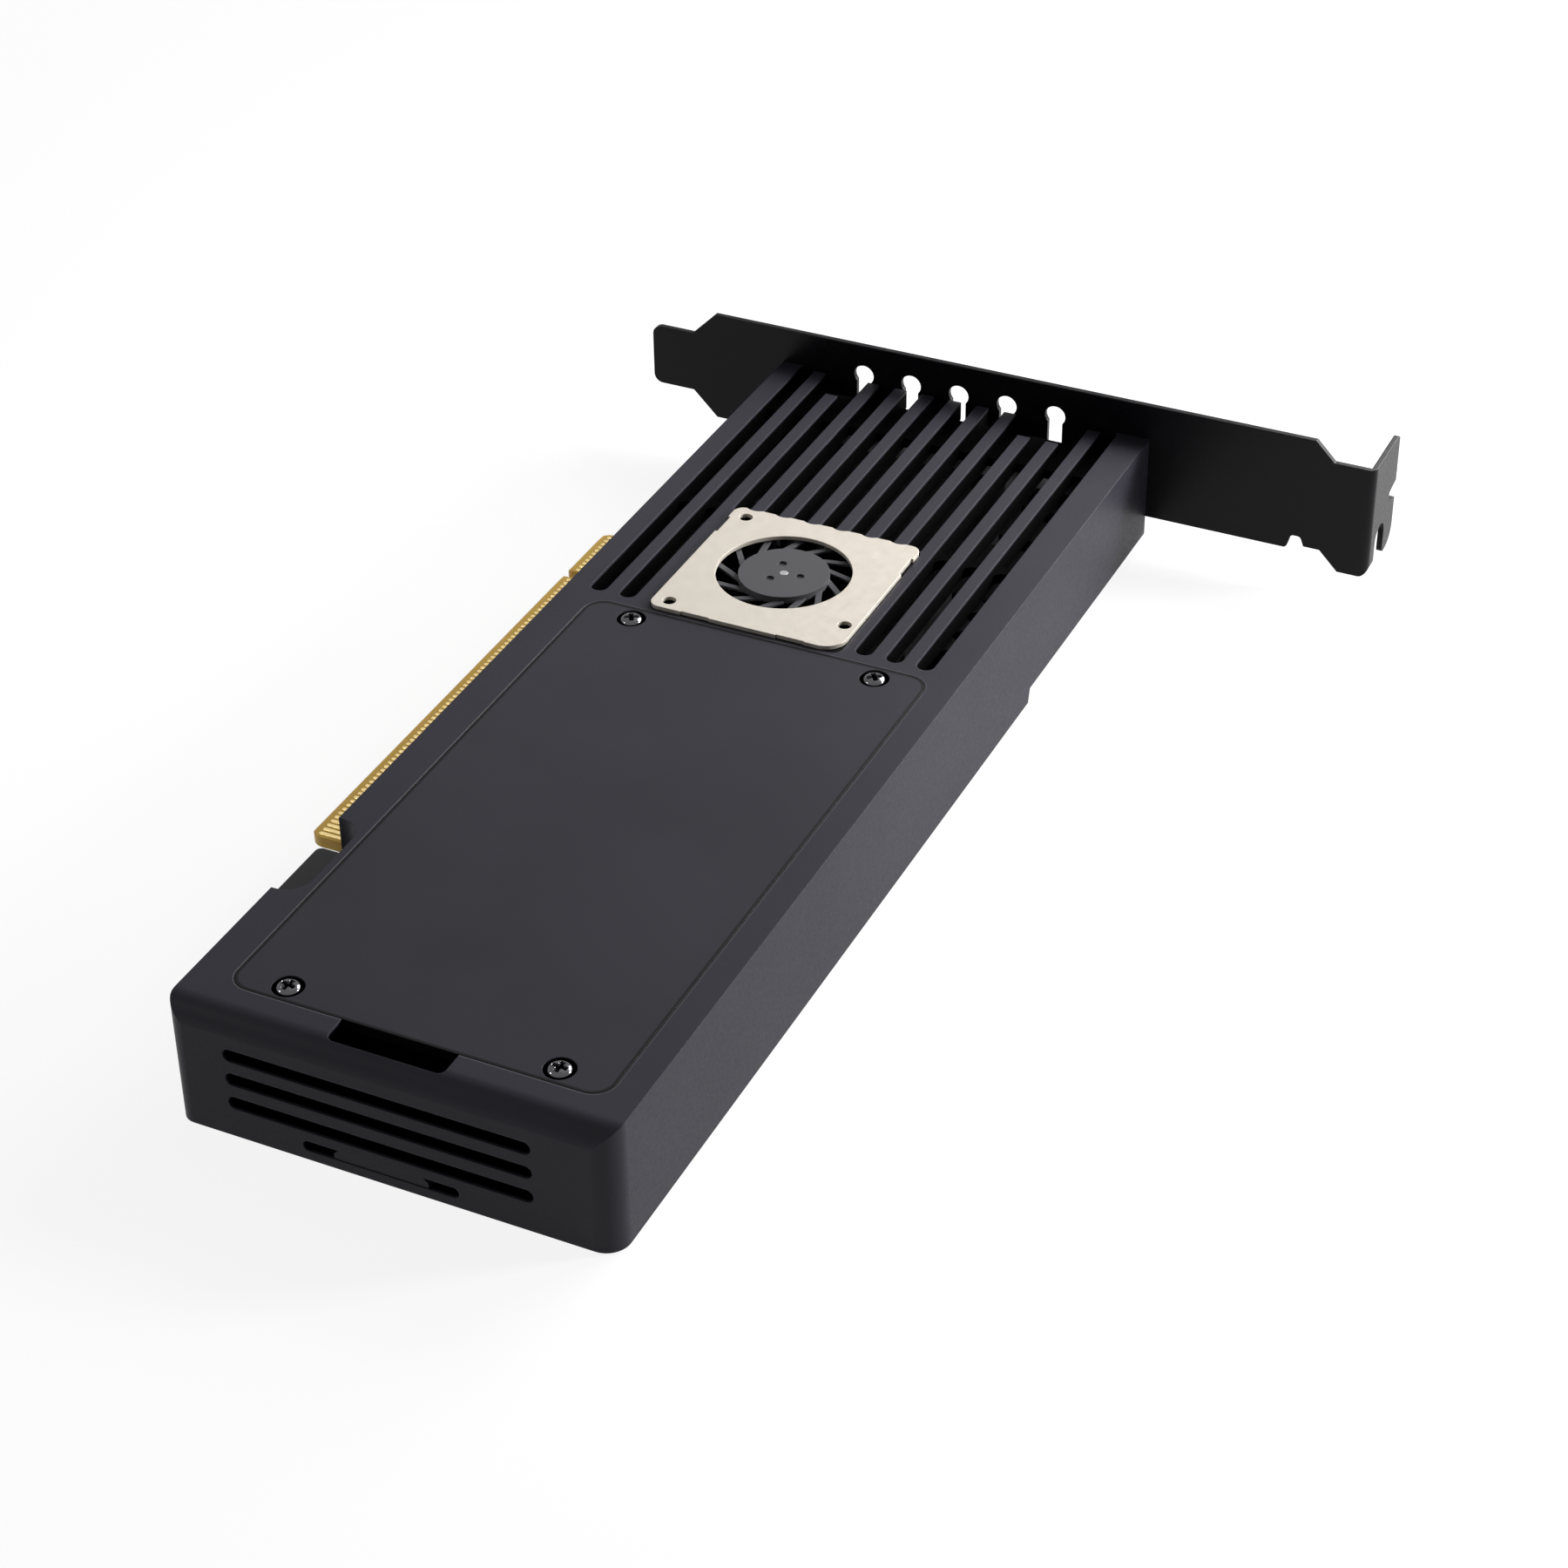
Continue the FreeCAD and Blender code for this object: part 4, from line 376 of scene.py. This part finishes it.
# ---- Circuit board -----------------------------------------------------------------------------
# Glass laminate under a black solder mask, held between the housing and the base. The edge connector's
# tongue is bare mustard laminate between its gold contacts, and its tip is bevelled.
contact_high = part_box("contacts_upper")[1]
board_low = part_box("circuit_board")[0]
weave_scale, board_rough, board_gloss, board_depth, board_edge = 900.0, 0.42, 0.22, 0.004 * mm, 0.25 * mm
beside_contacts, above_contacts = 1.3 * mm, 0.6 * mm
board_mask, tree, shader = node_material("board_mask")
where = place(tree)
weave = noise(tree, where, weave_scale, 2.0)
tongue = within(tree, where, (board_low.x - far, board_low.y - far, -far),
                (contact_high.x + beside_contacts, contact_high.y + above_contacts, far))
# Inside the case the mask is painted darker, as shade; outside it, by the latch hook, it keeps its lighter
# tone.
outdoors = within(tree, where, (-far, -far, -far), (far, case_low.y, far))
mask_shaded_inside = tint(tree, weave, shade(9, 9, 10), shade(13, 13, 14))
mask = tint(tree, outdoors, mask_shaded_inside, shade(28, 28, 31))
laminate = tint(tree, weave, shade(192, 154, 70), shade(204, 166, 82))
feed(tree, tint(tree, tongue, mask, laminate), shader.inputs["Base Color"])
shader.inputs["Roughness"].default_value = board_rough
shader.inputs["Specular IOR Level"].default_value = board_gloss
relief(tree, shader, weave, board_depth, board_edge)
dress("circuit_board", board_mask)


# ---- Contacts ----------------------------------------------------------------------------------
# Hard gold over nickel on each face of the tongue, in one long row with a key slot after the eleventh
# contact. They are brushed lightly along the direction of insertion.
def metal(name, dark, light, rough, grain, depth, soft_edge=0.1 * mm, metallic=1.0):
    """Metal with fine marks: grain is the noise scale along X, Y and Z."""
    rough_spread = 0.07
    material, tree, shader = node_material(name)
    where = place(tree, grain)
    marks = noise(tree, where, 1.0, 3.0, 0.6)
    feed(tree, tint(tree, marks, dark, light), shader.inputs["Base Color"])
    rough_here = between(tree, marks, rough - rough_spread, rough + rough_spread, *noise_span)
    feed(tree, rough_here, shader.inputs["Roughness"])
    shader.inputs["Metallic"].default_value = metallic
    relief(tree, shader, marks, depth, soft_edge)
    return material


def ring_faces(rows, columns):
    """Quads between neighbouring rings of points, facing out, and the one face that closes each end."""
    row, column = np.meshgrid(np.arange(rows - 1), np.arange(columns), indexing="ij")
    after = (column + 1) % columns
    a, b = row * columns + column, row * columns + after
    quads = np.stack([a, a + columns, b + columns, b], axis=-1).reshape(-1, 4)
    top = np.arange(columns)
    low = (rows - 1) * columns + np.arange(columns)[::-1]
    return quads, np.stack([top, low])


def smooth_mesh(name, points, faces, sharp_deg, material):
    """Mesh that is smooth but for edges sharper than an angle."""
    mesh = bpy.data.meshes.new(name)
    mesh.from_pydata(points.tolist(), [], faces)
    mesh.shade_smooth()
    mesh.set_sharp_from_angle(angle=math.radians(sharp_deg))
    mesh.materials.append(material)
    return mesh


brushed = (6000.0, 300.0, 6000.0)
gold = metal("contact_gold", shade(246, 216, 142), shade(252, 232, 170), 0.30, brushed, 0.001 * mm,
             metallic=0.92)


def contact_row(name, node, facing):
    """Gold contacts of one face as one mesh.

    Outline of a contact: x = half width * cos(angle), y = half width * sin(angle), with its two halves drawn
    apart to the contact's length. Rings follow that outline up the edge, then shrink towards the middle by
    share while they rise to the contact's thickness.
    """
    half_wide, pitch, plain_tip = 0.31 * mm, 1.0 * mm, 0.3 * mm
    before_key, after_key, columns, sharp_deg = 11, 71, 20, 50
    low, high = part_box(node)
    half_long = (high.y - low.y - plain_tip) / 2
    thick = high.z - low.z
    angle = np.linspace(0, 2 * np.pi, columns, endpoint=False)[None, :]
    share = np.array([1.0, 1.0, 0.93, 0.75, 0.4])[:, None]
    rise = np.array([0.0, 0.35, 0.7, 0.9, 1.0])[:, None] * thick
    draw = np.sign(np.sin(angle) + 1e-9) * (half_long - half_wide)
    x = share * half_wide * np.cos(angle)
    y = share * half_wide * np.sin(angle) + draw
    z = facing * rise + 0 * angle
    one = np.stack([x, y, z], axis=-1).reshape(-1, 3)
    first, last = low.x + half_wide, high.x - half_wide
    spots = np.concatenate([first + pitch * np.arange(before_key), last - pitch * np.arange(after_key)])
    seat = low.z if facing > 0 else high.z
    places = np.stack([spots, np.full(len(spots), high.y - half_long), np.full(len(spots), seat)], axis=-1)
    points = (places[:, None, :] + one[None, :, :]).reshape(-1, 3)
    quads, caps = ring_faces(len(share), columns)
    starts = (np.arange(len(spots)) * len(one))[:, None, None]
    turn = 1 if facing < 0 else -1
    walls = (quads + starts).reshape(-1, 4)[:, ::turn]
    ends = (caps + starts).reshape(-1, columns)[:, ::turn]
    mesh = smooth_mesh(name, points, walls.tolist() + ends.tolist(), sharp_deg, gold)
    piece = bpy.data.objects.new(name, mesh)
    stand(piece)
    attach(piece, "card")
    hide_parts(node)


contact_row("gold_contacts_above", "contacts_upper", 1)
contact_row("gold_contacts_below", "contacts_lower", -1)

# ---- Slot bracket ------------------------------------------------------------------------------
# Folded steel sheet, powder coated black, with a faint orange-peel surface. It closes the end of the case
# and two screws hold it.
coat_grain, coat_depth, coat_edge = 0.6 * mm, 0.004 * mm, 0.25 * mm
dress("slot_bracket", moulded("bracket_coat", shade(4, 4, 7), shade(7, 7, 10), 0.34, coat_grain, coat_depth,
                              coat_edge, 0.14))

# ---- Fan ---------------------------------------------------------------------------------------
# Small blower: a stamped cover plate with a satin champagne plating, a moulded frame, and a thirteen
# blade wheel with a magnet ring that turns on a steel shaft round a wound stator.
plated = (900.0, 900.0, 900.0)
dress("fan_cover_plate", metal("plated_cover", shade(182, 175, 164), shade(186, 179, 169), 0.42, plated,
                               0.0003 * mm, metallic=0.35))
# The frame is black plastic, made darker still as painted shade in the gaps round the wheel.
dress("fan_frame", moulded("fan_frame_black_and_shade", shade(5, 5, 5), shade(8, 8, 8), 0.8, gloss=0.05))
wheel_low, wheel_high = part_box("fan_impeller")
# Below the blades' top millimetre the wheel is painted black as shade.
lit_blade = 1.0 * mm
blade_roots = ((wheel_low.x, wheel_low.y, -far), (wheel_high.x, wheel_high.y, wheel_high.z - lit_blade))
dress("fan_impeller", moulded("wheel_plastic", shade(64, 64, 67), shade(68, 68, 71), 0.45, 0.5 * mm,
                              0.003 * mm, 0.1 * mm, painted_shade_boxes=(blade_roots,)))
dress("fan_magnet", moulded("magnet_ferrite", shade(40, 38, 37), shade(52, 50, 48), 0.6))
ground, wound = (1500.0, 1500.0, 300.0), (800.0, 800.0, 9000.0)
steel = metal("ground_steel", shade(170, 170, 172), shade(205, 205, 207), 0.28, ground, 0.002 * mm)
dress("fan_shaft", steel)
dress("fan_bearing", steel)
dress("fan_stator", metal("wound_copper", shade(170, 96, 52), shade(206, 124, 70), 0.35, wound, 0.03 * mm))

# ---- Heat sink and chip ------------------------------------------------------------------------
# Finned aluminium under the ribs, anodised black, and its black is painted darker still as shade inside the
# case. Four screws press it on the switch chip through a soft pad.
extruded = (120.0, 4000.0, 4000.0)
dress("heat_sink", metal("sink_aluminium", shade(4, 4, 5), shade(8, 8, 9), 0.6, extruded, 0.006 * mm,
                         metallic=0.6))
chip_black = moulded("chip_resin", shade(14, 14, 16), shade(18, 18, 20), 0.6, gloss=0.05)
dress("switch_chip", chip_black)
soft_pad = moulded("soft_pad", shade(120, 130, 140), shade(134, 143, 152), 0.75)
dress("chip_heat_pad", soft_pad)

# ---- Drive sockets and standoffs ---------------------------------------------------------------
# Low black sockets on both faces of the board, with brass standoffs and flat screws at the far end. Soft
# pads inside the covers carry the drives' heat away.
turned_brass = (3000.0, 3000.0, 600.0)
socket_black = moulded("socket_nylon", shade(28, 28, 29), shade(36, 36, 37), 0.5)
standoff_brass = metal("standoff_brass", shade(196, 160, 92), shade(216, 180, 110), 0.3, turned_brass,
                       0.003 * mm)
for side in ("upper", "lower"):
    dress(f"drive_sockets_{side}", socket_black)
    dress(f"standoffs_{side}", standoff_brass)
    dress(f"drive_screws_{side}", steel)
    dress(f"drive_heat_pads_{side}", soft_pad)

# ---- Board components --------------------------------------------------------------------------
# Power coils and regulators beside the chip, three capacitors, the fan's nylon header, a canned oscillator
# and a memory chip, all soldered to the board. The coils and the capacitors are painted near-black as shade
# inside the case.
dress("power_inductors", moulded("coil_ferrite_and_shade", shade(14, 14, 15), shade(18, 18, 19), 0.7, gloss=0.05))
dress("power_regulators", chip_black)
dress("capacitors", moulded("can_painted_shade", shade(14, 14, 16), shade(18, 18, 20), 0.6, gloss=0.05))
dress("fan_header", moulded("header_nylon", shade(222, 219, 208), shade(230, 227, 218), 0.5))
dress("oscillator", steel)
dress("firmware_memory", chip_black)

# ---- Screws ------------------------------------------------------------------------------------
# Small steel pan heads with a cross recess, blackened, each sunk in a round well. They hold the two access
# covers and the case. The heat sink's and the bracket's are plain and dark: the bracket's are black, and the
# heat sink's are painted dark as shade inside the case.
mark_scale, recess_span, head_rough_low, head_rough_high = 2500.0, (0.05, 0.7), 0.12, 0.20
screw_finish_recess_shade, tree, shader = node_material("screw_oxide_recess_shade")
shader.inputs["Metallic"].default_value = 1.0
marks = noise(tree, place(tree), mark_scale, 3.0, 0.6)
depth_here = tree.nodes.new("ShaderNodeAttribute")
depth_here.attribute_name = "sunk"
# Deep in the cross recess the head is painted near-black as shade, and rougher.
recess = between(tree, depth_here.outputs["Fac"], 0.0, 1.0, *recess_span)
head_tone = tint(tree, marks, shade(84, 84, 87), shade(98, 98, 101))
feed(tree, tint(tree, recess, head_tone, shade(6, 6, 6)), shader.inputs["Base Color"])
head_rough = between(tree, marks, head_rough_low, head_rough_high, *noise_span)
feed(tree, calc(tree, "MAXIMUM", head_rough, recess), shader.inputs["Roughness"])


def cross_depth(x, y, arm, half_width, slope):
    """Share of a cross recess's depth at x, y: nought outside its arms, one where the walls' slope ends."""
    along_x = np.minimum(arm - np.abs(x), half_width - np.abs(y))
    along_y = np.minimum(arm - np.abs(y), half_width - np.abs(x))
    return np.clip(np.maximum(along_x, along_y) / slope, 0.0, 1.0)


def screw_surface(head_round, head_tall, shank_round, shank_long, turn):
    """Rings of a screw along Z, head up, its head's underside at nought, as rows of points by angle.

    Head: z = tall * (1 - (r / round) ** crown) ** (1 / crown), less the cross. Shank: its radius swells and
    shrinks with (z / pitch + angle / full turn), which winds the thread round it. The second result is the
    depth of the cross at each point.
    """
    columns, crown = 72, 3.4
    centre, rim_start, rim_share, face_rows, rim_rows = 0.02, 0.8, 0.2, 26, 9
    cross_deep, cross_slope, arm_share, arm_half_share = 0.55 * mm, 0.12 * mm, 0.62, 0.21
    pitch, thread_deep, tip_long, tip_shares = 0.45 * mm, 0.09 * mm, 0.3 * mm, (0.8, 0.3)
    angle = np.linspace(0, 2 * np.pi, columns, endpoint=False)[None, :]
    face = np.linspace(centre, rim_start, face_rows)
    rim = 1 - rim_share * np.linspace(1, 0, rim_rows)[1:] ** 2
    out = np.concatenate([face, rim])[:, None] * head_round
    cross = cross_depth(out * np.cos(angle - turn), out * np.sin(angle - turn), arm_share * head_round,
                        arm_half_share * head_round, cross_slope)
    top = head_tall * (1 - np.clip(out / head_round, 0, 1) ** crown) ** (1 / crown) + 0 * angle
    head = np.stack([out * np.cos(angle), out * np.sin(angle), top - cross_deep * cross], axis=-1)
    down = np.arange(0, shank_long - tip_long, pitch / 6)[:, None]
    wave = np.abs(((down / pitch + angle / (2 * np.pi)) % 1) * 2 - 1)
    reach = shank_round - thread_deep * wave * np.clip(down / (2 * pitch), 0, 1)
    shank = np.stack([reach * np.cos(angle), reach * np.sin(angle), -down + 0 * angle], axis=-1)
    tip_reach = (shank_round - thread_deep) * np.array(tip_shares)[:, None]
    tip_end = np.full((len(tip_shares), columns), -shank_long)
    tip = np.stack([tip_reach * np.cos(angle), tip_reach * np.sin(angle), tip_end], axis=-1)
    sunk = np.concatenate([cross, np.zeros((len(shank) + len(tip), columns))])
    return np.concatenate([head, shank, tip]), sunk


def screws(name, node, facing, head_tall, proud=0.0, inset=0.0):
    """Cross-recess screws in place of a node's, one at each corner of its box, heads up or down by facing.

    A head stands proud of the node's own by that much, and its rim lies inset from it.
    """
    head_round, shank_round, sharp_deg = 1.75 * mm, 0.95 * mm, 40
    first_turn, turn_along, turn_across = 0.5, 0.9, 1.7
    low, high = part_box(node)
    turned = np.array(Vector((0, 0, facing)).to_track_quat("Z", "Y").to_matrix())
    seat = high.z - head_tall if facing > 0 else low.z + head_tall
    shank_long = high.z - low.z - head_tall
    points, sunk, faces = [], [], []
    for i, x in enumerate((low.x + head_round, high.x - head_round)):
        for j, y in enumerate((low.y + head_round, high.y - head_round)):
            rings, depth = screw_surface(head_round - inset, head_tall + proud, shank_round, shank_long,
                                         first_turn + turn_along * i + turn_across * j)
            start = sum(map(len, points))
            for group in ring_faces(*depth.shape):
                faces += (group + start).tolist()
            points.append(rings.reshape(-1, 3) @ turned.T + np.array((x, y, seat)))
            sunk.append(depth.ravel())
    mesh = smooth_mesh(name, np.concatenate(points), faces, sharp_deg, screw_finish_recess_shade)
    mesh.attributes.new("sunk", "FLOAT", "POINT").data.foreach_set("value", np.concatenate(sunk))
    piece = bpy.data.objects.new(name, mesh)
    stand(piece)
    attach(piece, "card")
    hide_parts(node)


screws("cover_screws_above", "top_cover_screws", 1, 0.85 * mm, 0.5 * mm, 0.1 * mm)
screws("cover_screws_below", "bottom_cover_screws", -1, 0.65 * mm)
screws("case_screws_below", "case_screws", -1, 0.85 * mm)
dark_screw = metal("plain_screw_black_and_shade", shade(26, 26, 28), shade(34, 34, 36), 0.4, (mark_scale,) * 3,
                   0.002 * mm)
# The heat sink's screws take this dark finish as painted shade inside the case.
dress("heat_sink_screws", dark_screw)
dress("bracket_screws", dark_screw)
